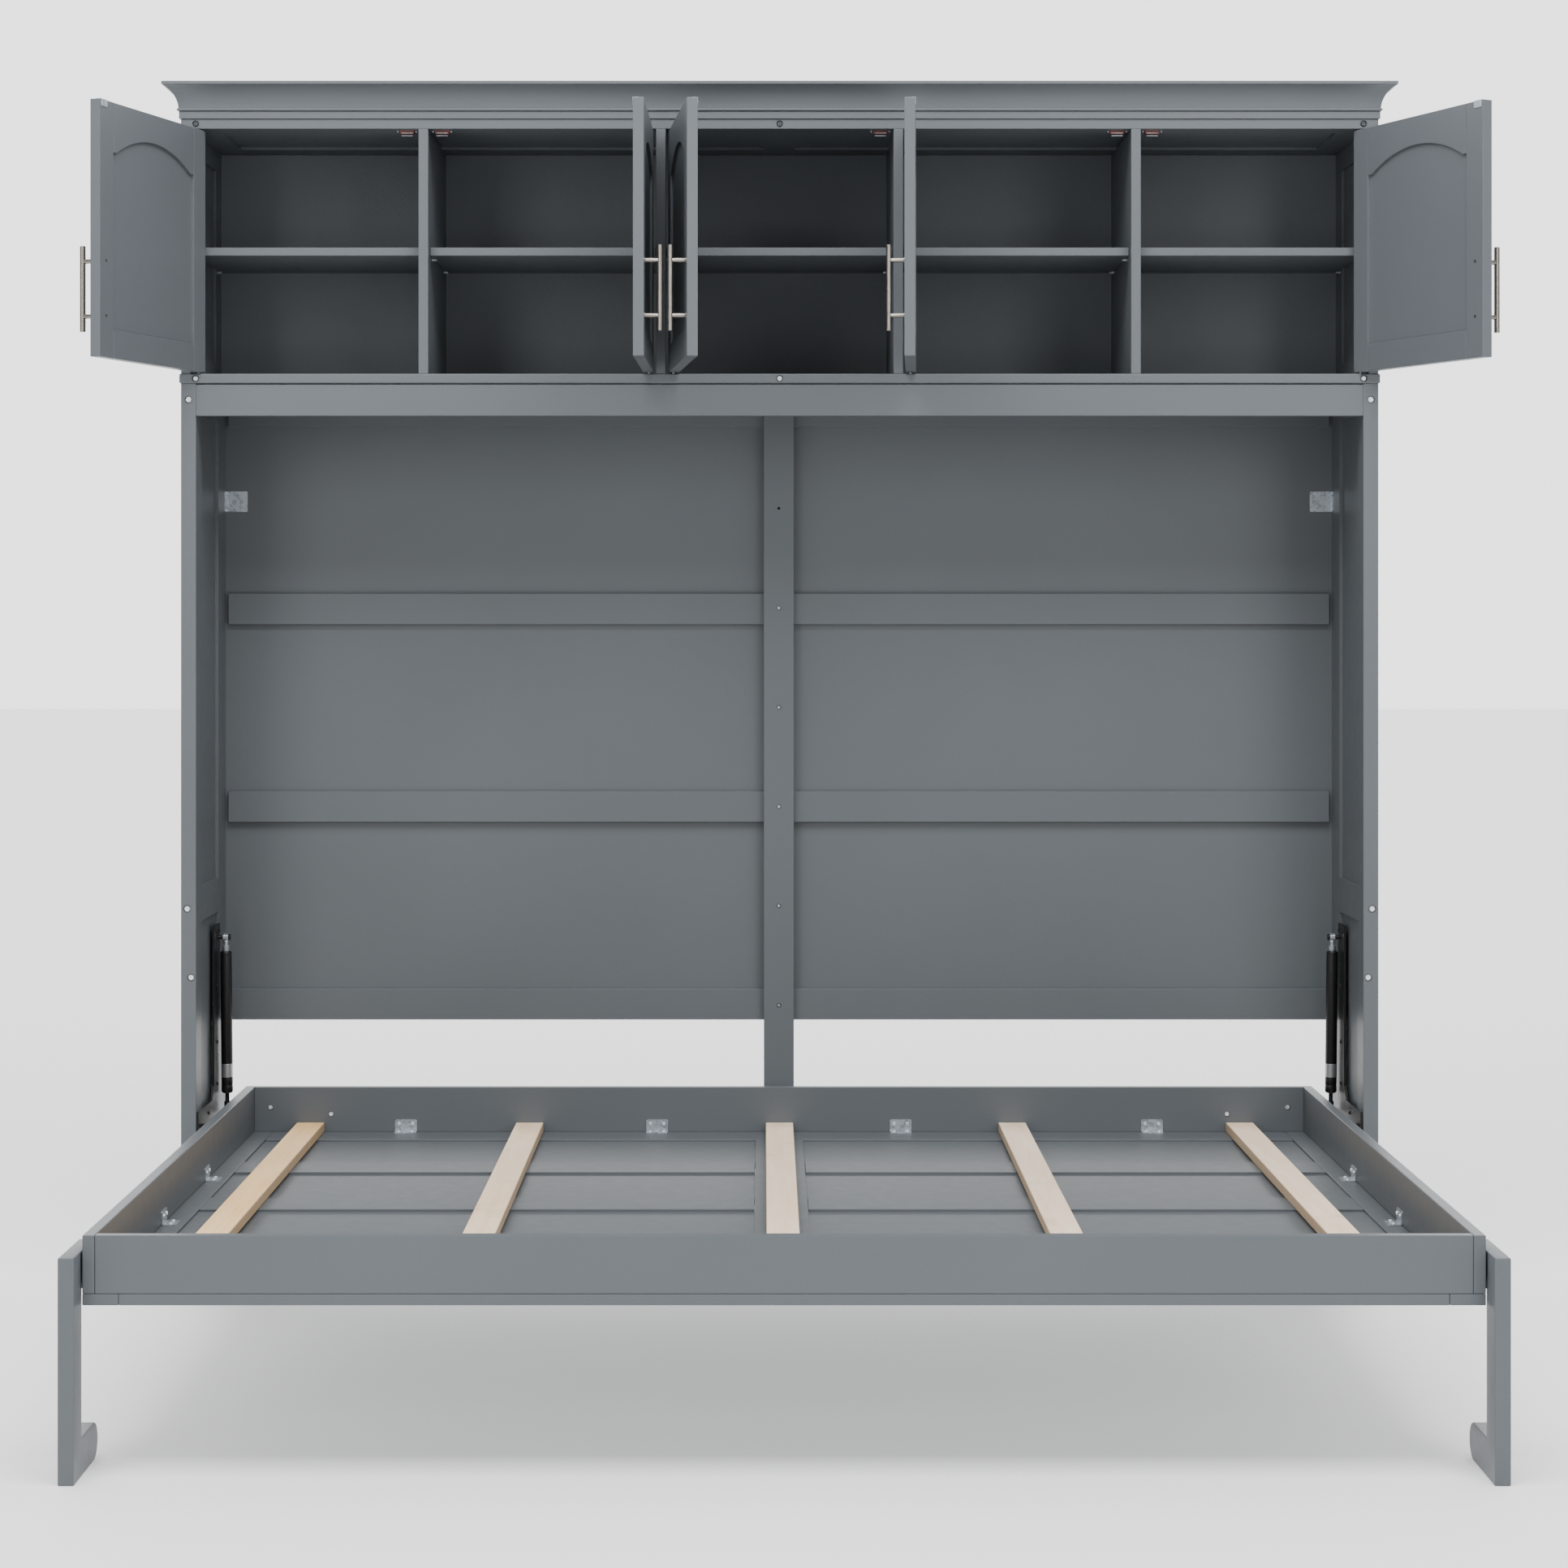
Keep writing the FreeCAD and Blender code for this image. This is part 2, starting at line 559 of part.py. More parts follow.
def mechanism_plate():
    """Steel plate screwed to the housing side: a tall arm for the gas spring, a low arm for the pivot."""
    outline = polygon([V(0, y, z) for y, z in MECHANISM_OUTLINE])
    arms = prism([edge.translated(V(-INNER_HALF, 0, 0)) for edge in outline], V(PLATE_T, 0, 0))
    boss = rod(BOSS_R, side_point(PLATE_FACE, PIVOT), side_point(COLLAR_END + 0.5, PIVOT))
    stud = rod(STUD_R, side_point(PLATE_FACE, SPRING_TOP), side_point(SPRING_X - 9, SPRING_TOP))
    stud_head = rod(STUD_R + 2, side_point(SPRING_X - EYE_HALF - 0.5, SPRING_TOP),
                    side_point(SPRING_X - 9, SPRING_TOP))
    whole = join([arms, boss, stud, stud_head])
    bore = rod(PIVOT_R + RUNNING_FIT, side_point(PLATE_FACE + 1, PIVOT), side_point(COLLAR_END, PIVOT))
    return whole.cut(bore)


def bed_pivot():
    """Plate on the bed's end rail with the pivot pin and the gas spring's lower stud."""
    plate = board(-BED_HALF - BED_PLATE_T, -BED_HALF, *PIVOT_PLATE)
    collar = rod(PIVOT_COLLAR_R, side_point(BED_HALF + BED_PLATE_T, PIVOT), side_point(COLLAR_END, PIVOT))
    pin = rod(PIVOT_R, side_point(COLLAR_END, PIVOT), side_point(PLATE_FACE + 0.5, PIVOT))
    stud = rod(STUD_R, side_point(BED_HALF + BED_PLATE_T, SPRING_LOW),
               side_point(SPRING_X - EYE_HALF - 1, SPRING_LOW))
    return join([plate, collar, pin, stud])


keep_pair("mechanism_plate", mechanism_plate())
keep_pair("bed_pivot", bed_pivot())

top_eye = side_point(SPRING_X, SPRING_TOP)
low_eye = side_point(SPRING_X, SPRING_LOW)
spring_length = (low_eye - top_eye).Length
spring_dir = (low_eye - top_eye) / spring_length
ACROSS = V(1, 0, 0)


def spring_cylinder():
    body_start, body_end = SPRING_BODY
    body = rod(SPRING_R, top_eye + spring_dir * body_start, top_eye + spring_dir * body_end)
    neck = rod(EYE_R - 2, top_eye, top_eye + spring_dir * body_start)
    eye = rod(EYE_R, top_eye - ACROSS * EYE_HALF, top_eye + ACROSS * EYE_HALF)
    chamber_end = top_eye + spring_dir * (body_end - 10)
    chamber = rod(SPRING_BORE, top_eye + spring_dir * (body_start + 8), chamber_end)
    guide = rod(ROD_R + RUNNING_FIT, chamber_end - spring_dir, top_eye + spring_dir * (body_end + 1))
    stud_hole = rod(STUD_R + RUNNING_FIT, top_eye - ACROSS * 9, top_eye + ACROSS * 9)
    return join([body, neck, eye]).cut([chamber, guide, stud_hole])


def spring_rod():
    piston_end = top_eye + spring_dir * (SPRING_BODY[0] + 12)
    piston = rod(SPRING_BORE - RUNNING_FIT, piston_end, piston_end + spring_dir * 8)
    shaft = rod(ROD_R, piston_end, low_eye)
    socket = rod(EYE_R - 1, low_eye - spring_dir * 14, low_eye)
    eye = rod(EYE_R, low_eye - ACROSS * EYE_HALF, low_eye + ACROSS * EYE_HALF)
    return join([piston, shaft, socket, eye])


keep_pair("spring_cylinder", spring_cylinder())
keep_pair("spring_rod", spring_rod())


# ---- legs ---------------------------------------------------------------------------------------
def leg():
    """C-shaped leg: a post in front, a round-ended arm on the pivot bolt and a round-ended foot."""
    post_back = LEG_FRONT + LEG_POST
    tip = LEG_PIVOT_Y + LEG_R
    arm_z = LEG_H - LEG_POST
    outline = [
        Part.makeLine(V(0, LEG_FRONT, 0), V(0, LEG_PIVOT_Y, 0)),
        Part.Arc(V(0, LEG_PIVOT_Y, 0), V(0, tip, LEG_R), V(0, LEG_PIVOT_Y, LEG_POST)).toShape(),
        Part.makeLine(V(0, LEG_PIVOT_Y, LEG_POST), V(0, post_back, LEG_POST)),
        Part.makeLine(V(0, post_back, LEG_POST), V(0, post_back, arm_z)),
        Part.makeLine(V(0, post_back, arm_z), V(0, LEG_PIVOT_Y, arm_z)),
        Part.Arc(V(0, LEG_PIVOT_Y, arm_z), V(0, tip, LEG_PIVOT_Z), V(0, LEG_PIVOT_Y, LEG_H)).toShape(),
        Part.makeLine(V(0, LEG_PIVOT_Y, LEG_H), V(0, LEG_FRONT, LEG_H)),
        Part.makeLine(V(0, LEG_FRONT, LEG_H), V(0, LEG_FRONT, 0)),
    ]
    inner_x = BED_HALF + LEG_GAP
    solid = prism([edge.translated(V(-inner_x - LEG_T, 0, 0)) for edge in outline], V(LEG_T, 0, 0))
    bore = rod(LEG_BOLT_R + RUNNING_FIT, V(-inner_x - LEG_T - 1, LEG_PIVOT_Y, LEG_PIVOT_Z),
               V(-inner_x + 1, LEG_PIVOT_Y, LEG_PIVOT_Z))
    return solid.cut(bore)


def leg_bolt():
    inner_x = BED_HALF + LEG_GAP
    spot = (LEG_PIVOT_Y, LEG_PIVOT_Z)
    washer = rod(LEG_WASHER_R, side_point(BED_HALF, spot), side_point(inner_x - 0.5, spot))
    shank = rod(LEG_BOLT_R, side_point(BED_HALF, spot), side_point(inner_x + LEG_T + 0.5, spot))
    head = rod(LEG_HEAD_R, side_point(inner_x + LEG_T + 0.5, spot), side_point(inner_x + LEG_T + 4.5, spot))
    return join([washer, shank, head])


keep_pair("leg", leg())
bolt = leg_bolt()
keep("leg_pivot_bolts", Part.makeCompound([bolt, other_side(bolt)]))


# ---- export -------------------------------------------------------------------------------------
whole = Part.makeCompound(list(pieces.values())).BoundBox
offset = V(-(whole.XMin + whole.XMax) / 2, -(whole.YMin + whole.YMax) / 2, -whole.ZMin)
for name, shape in pieces.items():
    shape.translated(offset).exportStep("parts/%s.step" % name)
print("nodes", len(pieces))
print("origin offset", [round(value, 4) for value in offset])
print("size", [round(value, 2) for value in (whole.XLength, whole.YLength, whole.ZLength)])
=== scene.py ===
"""Horizontal wall bed with an arched-door cabinet: the looks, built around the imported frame, in metres."""

import math

import bmesh
import bpy
from mathutils import Matrix, Vector


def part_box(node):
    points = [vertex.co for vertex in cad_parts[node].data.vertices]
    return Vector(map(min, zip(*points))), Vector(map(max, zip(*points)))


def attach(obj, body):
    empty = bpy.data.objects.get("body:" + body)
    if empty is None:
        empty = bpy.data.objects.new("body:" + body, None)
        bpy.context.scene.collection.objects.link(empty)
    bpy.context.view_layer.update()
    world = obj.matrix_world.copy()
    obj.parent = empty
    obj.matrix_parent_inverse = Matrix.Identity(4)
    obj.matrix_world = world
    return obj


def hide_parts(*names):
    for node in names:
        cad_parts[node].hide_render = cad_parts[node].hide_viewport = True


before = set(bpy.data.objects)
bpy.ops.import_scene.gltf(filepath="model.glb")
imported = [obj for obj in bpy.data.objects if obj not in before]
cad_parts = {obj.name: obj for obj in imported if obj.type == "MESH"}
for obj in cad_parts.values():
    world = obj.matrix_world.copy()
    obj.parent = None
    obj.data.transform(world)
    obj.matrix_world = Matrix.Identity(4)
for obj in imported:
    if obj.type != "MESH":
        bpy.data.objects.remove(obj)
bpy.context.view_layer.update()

# ---- camera -------------------------------------------------------------------------------------
# A level camera at standing eye height in front of the bed, a little left of the middle, with a long lens.
# Its shift keeps the verticals upright while the bed sits in the middle of the picture.
housing_low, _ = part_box("housing_side_left")
_, housing_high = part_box("housing_side_right")
middle_x = (housing_low.x + housing_high.x) / 2
front_y = housing_low.y
CAMERA_BACK = 6.186
CAMERA_LEFT = 0.0317
CAMERA_HEIGHT = 1.2664
camera_data = bpy.data.cameras.new("camera")
camera_data.lens = 76.79
camera_data.sensor_width = 36.0
camera_data.shift_x = 0.0137
camera_data.shift_y = -0.107
camera_data.dof.use_dof = False
camera = bpy.data.objects.new("camera", camera_data)
camera.location = (middle_x - CAMERA_LEFT, front_y - CAMERA_BACK, CAMERA_HEIGHT)
camera.rotation_euler = (math.pi / 2, 0.0, 0.0)
bpy.context.scene.collection.objects.link(camera)
bpy.context.scene.camera = camera


# ---- studio -------------------------------------------------------------------------------------
# A pale floor in a white room that is brightest behind the bed. The floor's emission is painted light: it glows
# weakly in front and strongly far behind the bed, standing in for a lit paper sweep. Two large soft lights stand
# well out to the left and right of the camera and a broad one hangs over the bed.
def studio_light(name, place, aim, width, height, power):
    lamp = bpy.data.lights.new(name, "AREA")
    lamp.shape = "RECTANGLE"
    lamp.size = width
    lamp.size_y = height
    lamp.energy = power
    lamp_object = bpy.data.objects.new(name, lamp)
    lamp_object.location = place
    lamp_object.rotation_euler = (Vector(aim) - Vector(place)).to_track_quat("-Z", "Y").to_euler()
    bpy.context.scene.collection.objects.link(lamp_object)


BED_MIDDLE = (0.0, 0.2, 1.2)
SOFTBOX_WATTS = 208.0
for side, label in ((-1, "left"), (1, "right")):
    studio_light("softbox_" + label, (side * 4.8, -9.3, 3.6), BED_MIDDLE, 3.2, 4.2, SOFTBOX_WATTS)
studio_light("overhead", (0.0, -1.9, 4.6), (0.0, -0.5, 0.3), 4.4, 2.2, 300.0)


class Value:
    """A socket that takes part in Python arithmetic; each operation adds its Math node."""

    def __init__(self, net, socket):
        self.net = net
        self.socket = socket

    def math(self, operation, first, second):
        return self.net.add("ShaderNodeMath", {"operation": operation}, {0: first, 1: second})

    def __add__(self, other):
        return self.math("ADD", self, other)

    def __radd__(self, other):
        return self.math("ADD", other, self)

    def __sub__(self, other):
        return self.math("SUBTRACT", self, other)

    def __rsub__(self, other):
        return self.math("SUBTRACT", other, self)

    def __mul__(self, other):
        return self.math("MULTIPLY", self, other)

    def __rmul__(self, other):
        return self.math("MULTIPLY", other, self)

    def __truediv__(self, other):
        return self.math("DIVIDE", self, other)

    def __gt__(self, other):
        return self.math("GREATER_THAN", self, other)

    def __lt__(self, other):
        return self.math("LESS_THAN", self, other)

    def __mod__(self, other):
        return self.math("FLOORED_MODULO", self, other)


class Net:
    """A shader or geometry tree that nodes are added to by type, settings and socket values."""

    def __init__(self, tree):
        self.tree = tree

    def add(self, kind, settings=None, sockets=None, out=0):
        node = self.tree.nodes.new(kind)
        for key, value in (settings or {}).items():
            if key == "stops":
                for stop, (place, colour) in zip(node.color_ramp.elements, value):
                    stop.position = place
                    stop.color = colour
            else:
                setattr(node, key, value)
        for key, value in (sockets or {}).items():
            for part in value if isinstance(value, list) else [value]:
                if isinstance(part, Value):
                    self.tree.links.new(part.socket, node.inputs[key])
                else:
                    node.inputs[key].default_value = part
        return Value(self, node.outputs[out])


WHITE = (1.0, 1.0, 1.0, 1.0)
ROOM_FRONT = 0.44
ROOM_BACK = 2.6
world = bpy.data.worlds.new("white_room")
world.use_nodes = True
sky = Net(world.node_tree)
heading = sky.add("ShaderNodeTexCoord")
heading_y = sky.add("ShaderNodeSeparateXYZ", None, {0: heading}, out=1)
glow = sky.add("ShaderNodeMapRange", {"interpolation_type": "SMOOTHSTEP"},
               {0: heading_y, 1: -0.1, 2: 0.75, 3: ROOM_FRONT, 4: ROOM_BACK})
backdrop = sky.tree.nodes["Background"]
backdrop.inputs["Color"].default_value = WHITE
sky.tree.links.new(glow.socket, backdrop.inputs["Strength"])
bpy.context.scene.world = world

FLOOR_HALF = 40.0
floor_mesh = bpy.data.meshes.new("floor")
floor_mesh.from_pydata([(-FLOOR_HALF, -FLOOR_HALF, 0), (FLOOR_HALF, -FLOOR_HALF, 0),
                        (FLOOR_HALF, FLOOR_HALF, 0), (-FLOOR_HALF, FLOOR_HALF, 0)], [], [(0, 1, 2, 3)])
floor = bpy.data.objects.new("floor", floor_mesh)
bpy.context.scene.collection.objects.link(floor)
paper = bpy.data.materials.new("paper_sweep")
paper.use_nodes = True
sweep = Net(paper.node_tree)
spot = sweep.add("ShaderNodeTexCoord", out=3)
spot_y = sweep.add("ShaderNodeSeparateXYZ", None, {0: spot}, out=1)
# Painted light: the floor's own glow rises from weak in front to strong far behind the bed.
painted_floor_glow = sweep.add("ShaderNodeMapRange", {"interpolation_type": "SMOOTHSTEP"},
                {0: spot_y, 1: -3.5, 2: 8.0, 3: 0.25, 4: ROOM_BACK * 0.42})
paper_shader = sweep.tree.nodes["Principled BSDF"]
paper_shader.inputs["Base Color"].default_value = (0.86, 0.86, 0.86, 1.0)
paper_shader.inputs["Roughness"].default_value = 0.85
paper_shader.inputs["Emission Color"].default_value = WHITE
sweep.tree.links.new(painted_floor_glow.socket, paper_shader.inputs["Emission Strength"])
floor_mesh.materials.append(paper)


# ---- housing ------------------------------------------------------------------------------------
# The open lower box that the bed folds into: framed sides, a thin back in two halves on four cross rails and a
# centre stile, and a valance. Pine and fibreboard, screwed together and sprayed with satin grey-blue lacquer.
MM = 0.001


def at(x, y, z):
    """A place given in millimetres from the housing's middle, its front plane and the floor."""
    return Vector((middle_x + x * MM, front_y + y * MM, z * MM))


def srgb(red, green, blue):
    return tuple(((c / 255 + 0.055) / 1.055) ** 2.4 for c in (red, green, blue)) + (1.0,)


def scaled(colour, factor):
    return tuple(min(1.0, c * factor) for c in colour[:3]) + (1.0,)


class Finish(Net):
    """A material with one Principled shader; its constants go straight on the shader's sockets."""

    def __init__(self, name, **constants):
        self.material = bpy.data.materials.new(name)
        self.material.use_nodes = True
        super().__init__(self.material.node_tree)
        self.shader = self.tree.nodes["Principled BSDF"]
        for key, value in constants.items():
            self.shader.inputs[key.replace("_", " ")].default_value = value
        self.place = self.add("ShaderNodeTexCoord", out=3)

    def stretched(self, scale):
        return self.add("ShaderNodeMapping", None, {"Vector": self.place, "Scale": scale})

    def noise(self, scale, detail=2.0, vector=None, rough=0.5):
        return self.add("ShaderNodeTexNoise", None,
                        {"Vector": vector or self.place, "Scale": scale, "Detail": detail, "Roughness": rough})

    def ramp(self, value, low, high, to_low=0.0, to_high=1.0):
        return self.add("ShaderNodeMapRange", None, {0: value, 1: low, 2: high, 3: to_low, 4: to_high})

    def mix(self, factor, first, second):
        return self.add("ShaderNodeMix", {"data_type": "RGBA"}, {0: factor, 6: first, 7: second}, out=2)

    def to(self, socket, value):
        self.tree.links.new(value.socket, self.shader.inputs[socket])

    def bump(self, height, distance, strength):
        self.to("Normal", self.add("ShaderNodeBump", None,
                                   {"Height": height, "Distance": distance, "Strength": strength}))


PAINT = (0.103, 0.114, 0.125, 1.0)


def lacquer(name, paint, pebble, rough):
    """Sprayed satin lacquer: orange peel, faint cloudiness, and a coarser pebble on raw fibreboard."""
    coat = Finish(name, IOR=1.45, Specular_IOR_Level=0.32)
    cloud = coat.noise(2.4, 3.0)
    fine = coat.noise(260.0, 2.0)
    coat.to("Base Color", coat.mix(coat.ramp(cloud * 0.75 + fine * 0.25, 0.3, 0.7),
                                   scaled(paint, 0.955), scaled(paint, 1.045)))
    coat.to("Roughness", coat.ramp(coat.noise(38.0, 3.0), 0.3, 0.7, rough - 0.015, rough + 0.02))
    peel = coat.noise(340.0, 1.0) * 0.5 + coat.noise(760.0, 2.0) * 0.5
    coat.bump(peel, pebble, 0.5)
    return coat.material


painted = lacquer("satin_lacquer", PAINT, 0.00003, 0.4)
# The back panels' copy of the lacquer is 1.2 times lighter than the paint: painted light lifting the shaded
# bays, besides its coarser pebble.
pebbled_painted_light = lacquer("pebbled_lacquer", scaled(PAINT, 1.2), 0.0009, 0.42)


def finish_cad(material, *nodes):
    for node in nodes:
        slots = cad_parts[node].material_slots
        if not slots:
            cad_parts[node].data.materials.append(material)
        for entry in slots:
            entry.material = material


finish_cad(painted, "housing_side_left", "housing_side_right", "valance", "centre_stile", "back_rails")
finish_cad(painted, "housing_back_left", "housing_back_right")

# ---- fasteners in the housing -------------------------------------------------------------------
# Zinc-plated socket bolts sunk in the front edges, and small cross-head screws down the centre stile. Each head
# is upset from wire and its recess punched in; one tree makes every screw and bolt head on the bed.
def zinc_plating(name, metallic, dark, light):
    """Zinc plate: small crystal spangle in its tone and sheen, and a fine grain."""
    plating = Finish(name, Metallic=metallic, Roughness=0.3)
    spangle = plating.add("ShaderNodeTexVoronoi", {"feature": "F1"},
                          {"Vector": plating.place, "Scale": 160.0}, out=1)
    tone = plating.add("ShaderNodeSeparateColor", None, {0: spangle})
    plating.to("Base Color", plating.mix(tone, dark, light))
    plating.to("Roughness", plating.ramp(plating.noise(420.0, 3.0) * 0.6 + tone * 0.4, 0.2, 0.8, 0.2, 0.42))
    plating.bump(plating.noise(900.0, 2.0), 0.00004, 0.4)
    return plating.material


zinc = zinc_plating("zinc_plate", 0.72, srgb(170, 178, 186), srgb(190, 197, 204))
# A lighter, less metallic copy of the zinc for bolt and screw heads: painted highlight where the heads catch the
# light.
bright_zinc = zinc_plating("bright_zinc", 0.4, srgb(218, 222, 226), srgb(234, 237, 240))


def geometry_net(name, inputs):
    """A geometry tree with one geometry in and out and the named inputs given as (name, socket kind)."""
    tree = bpy.data.node_groups.new(name, "GeometryNodeTree")
    tree.interface.new_socket("Geometry", in_out="OUTPUT", socket_type="NodeSocketGeometry")
    tree.interface.new_socket("Geometry", in_out="INPUT", socket_type="NodeSocketGeometry")
    for label, kind in inputs:
        tree.interface.new_socket(label, in_out="INPUT", socket_type="NodeSocket" + kind)
    net = Net(tree)
    entry = tree.nodes.new("NodeGroupInput")
    given = {socket.name: Value(net, socket) for socket in entry.outputs if socket.name}
    return net, given


def close_net(net, instances, material):
    """Every tree ends in Realize Instances and Set Material."""
    real = net.add("GeometryNodeRealizeInstances", None, {0: instances})
    dressed = net.add("GeometryNodeSetMaterial", None, {"Geometry": real, "Material": material})
    exit_node = net.tree.nodes.new("NodeGroupOutput")
    net.tree.links.new(dressed.socket, exit_node.inputs[0])


def points_mesh(name, places, attributes):
    mesh = bpy.data.meshes.new(name)
    mesh.from_pydata([tuple(place) for place in places], [], [])
    for label, kind, values in attributes:
        store = mesh.attributes.new(label, kind, "POINT")
        for entry, value in zip(store.data, values):
            if kind == "FLOAT_VECTOR":
                entry.vector = value
            else:
                entry.value = value
    return mesh


def grown(name, mesh, tree, inputs):
    """Runs a tree on a mesh and keeps the result as a plain mesh."""
    piece = bpy.data.objects.new(name, mesh)
    bpy.context.scene.collection.objects.link(piece)
    modifier = piece.modifiers.new("build", "NODES")
    modifier.node_group = tree
    for item in tree.interface.items_tree:
        if item.in_out == "INPUT" and item.name in inputs:
            modifier[item.identifier] = inputs[item.name]
    bpy.context.view_layer.update()
    result = bpy.data.meshes.new_from_object(piece.evaluated_get(bpy.context.evaluated_depsgraph_get()))
    piece.modifiers.clear()
    piece.data = result
    return piece


def fitted(piece, body, slot, *nodes):
    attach(piece, body)
    if nodes:
        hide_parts(*nodes)
    return piece


heads, given = geometry_net("screw_heads", [("Head Radius", "Float"), ("Head Height", "Float"),
                                            ("Rim Radius", "Float"), ("Recess Radius", "Float"),
                                            ("Cross", "Bool"), ("Material", "Material")])
radius, height, recess = given["Head Radius"], given["Head Height"], given["Recess Radius"]
crown_part = heads.add("GeometryNodeMeshCone", None, {"Vertices": 28, "Radius Top": radius * 0.78,
                                                      "Radius Bottom": radius, "Depth": height})
rim_part = heads.add("GeometryNodeMeshCylinder", None, {"Vertices": 28, "Radius": given["Rim Radius"],
                                                        "Depth": height * 0.5})
shank_part = heads.add("GeometryNodeMeshCylinder", None, {"Vertices": 12, "Radius": radius * 0.45,
                                                          "Depth": radius * 2.0})
shank_low = heads.add("GeometryNodeTransform", None, {
    "Geometry": shank_part, "Translation": heads.add("ShaderNodeCombineXYZ", None, {"Z": 0.0 - radius})})
hexagon = heads.add("GeometryNodeMeshCylinder", None, {"Vertices": 6, "Radius": recess, "Depth": height * 1.3})
bar_size = heads.add("ShaderNodeCombineXYZ", None, {"X": recess * 2.0, "Y": recess * 0.5, "Z": height * 1.3})
bar = heads.add("GeometryNodeMeshCube", None, {"Size": bar_size})
bar_turned = heads.add("GeometryNodeTransform", None, {"Geometry": bar, "Rotation": (0.0, 0.0, math.pi / 2)})
cross = heads.add("GeometryNodeMeshBoolean", {"operation": "UNION"}, {"Mesh 2": [bar, bar_turned]})
cutter = heads.add("GeometryNodeSwitch", {"input_type": "GEOMETRY"},
                   {"Switch": given["Cross"], "False": hexagon, "True": cross})
cutter_up = heads.add("GeometryNodeTransform", None, {
    "Geometry": cutter, "Translation": heads.add("ShaderNodeCombineXYZ", None, {"Z": height * 1.75})})
crown_up = heads.add("GeometryNodeTransform", None, {
    "Geometry": crown_part, "Translation": heads.add("ShaderNodeCombineXYZ", None, {"Z": height * 0.5})})
solid_head = heads.add("GeometryNodeMeshBoolean", {"operation": "UNION"}, {"Mesh 2": [crown_up, rim_part]})
cut_head = heads.add("GeometryNodeMeshBoolean", {"operation": "DIFFERENCE"},
                     {"Mesh 1": solid_head, "Mesh 2": cutter_up})
one_screw = heads.add("GeometryNodeJoinGeometry", None, {0: [cut_head, shank_low]})
facing = heads.add("GeometryNodeInputNamedAttribute", {"data_type": "FLOAT_VECTOR"}, {"Name": "facing"})
turn = heads.add("FunctionNodeAlignRotationToVector", {"axis": "Z"}, {"Vector": facing})
placed = heads.add("GeometryNodeInstanceOnPoints", None,
                   {"Points": given["Geometry"], "Instance": one_screw, "Rotation": turn})
close_net(heads, placed, given["Material"])


def screws(name, places, sizes, cross_head, material, body, slot, *nodes):
    """Screw heads; places are (x, y, z, outward direction) and sizes are head, height, rim and recess in mm."""
    mesh = points_mesh(name, [at(*place[:3]) for place in places],
                       [("facing", "FLOAT_VECTOR", [place[3] for place in places])])
    head, tall, rim, hollow = (size * MM for size in sizes)
    piece = grown(name, mesh, heads.tree, {"Head Radius": head, "Head Height": tall, "Rim Radius": rim,
                                           "Recess Radius": hollow, "Cross": cross_head, "Material": material})
    return fitted(piece, body, slot, *nodes)


FRONT = (0.0, -1.0, 0.0)
BACK = (0.0, 1.0, 0.0)
UP = (0.0, 0.0, 1.0)
FRONT_BOLTS = ((1093.5, 1667.0), (1096.0, 725.0), (1088.7, 598.0))
STILE_SCREW_Z = (510.5, 703.5, 896.5, 1089.5, 1282.5)
bolt_places = [(side * x, 2.6, z, FRONT) for side in (-1, 1) for x, z in FRONT_BOLTS]
screws("housing_bolts", bolt_places, (5.4, 2.2, 5.6, 2.5), False,
       bright_zinc, "cabinet", "zinc", "cabinet_bolts")
screws("stile_screw_heads", [(0.0, 314.4, z, FRONT) for z in STILE_SCREW_Z], (3.2, 1.6, 3.4, 1.9), True,
       zinc, "cabinet", "zinc", "stile_screws")

# ---- corner plates ------------------------------------------------------------------------------
# Two bent steel angles that stiffen the back where it meets the sides, high in the rear corners. Zinc plated,
# each held to its side by two screws, with the wide leg flat on the back.
CORNER_X = 1079.5
CORNER_Z = (1470.0, 1510.0)
CORNER_W = 43.0
CORNER_T = 1.5
BACK_Y = 342.0
WING = 18.0


def drawn(name, bm, material):
    """Turns finished bmesh work into an object with outward faces."""
    bmesh.ops.recalc_face_normals(bm, faces=bm.faces)
    mesh = bpy.data.meshes.new(name)
    bm.to_mesh(mesh)
    bm.free()
    mesh.materials.append(material)
    piece = bpy.data.objects.new(name, mesh)
    bpy.context.scene.collection.objects.link(piece)
    return piece


def slab(bm, outline, depth, arris, sharp=0.6, segments=2):
    """Extrudes a flat outline (3-D points in mm places) by a vector and eases its sharp edges."""
    before = set(bm.verts)
    loop = [bm.verts.new(point) for point in outline]
    cap = bm.faces.new(loop)
    raised = bmesh.ops.extrude_face_region(bm, geom=[cap])["geom"]
    for vert in raised:
        if isinstance(vert, bmesh.types.BMVert):
            vert.co += depth
    fresh = [vert for vert in bm.verts if vert not in before]
    faces = list({face for vert in fresh for face in vert.link_faces})
    bmesh.ops.recalc_face_normals(bm, faces=faces)
    if arris:
        edges = {edge for vert in fresh for edge in vert.link_edges}
        corner = [edge for edge in edges if edge.calc_face_angle(0.0) > sharp]
        bmesh.ops.bevel(bm, geom=corner, offset=arris * MM, segments=segments, affect="EDGES", profile=0.5,
                        clamp_overlap=True)


def brick(bm, x0, x1, y0, y1, z0, z1, arris):
    outline = [at(x0, y0, z0), at(x1, y0, z0), at(x1, y1, z0), at(x0, y1, z0)]
    slab(bm, outline, Vector((0.0, 0.0, (z1 - z0) * MM)), arris)


def rounded(points, radius, steps=5):
    """Rounds the corners of a flat outline of 2-D points."""
    outline = []
    for index, corner in enumerate(points):
        corner = Vector(corner)
        before = (Vector(points[index - 1]) - corner).normalized() * radius
        after = (Vector(points[(index + 1) % len(points)]) - corner).normalized() * radius
        for step in range(steps + 1):
            t = step / steps
            outline.append(corner + before * (1 - t) ** 2 + after * t ** 2)
    return outline


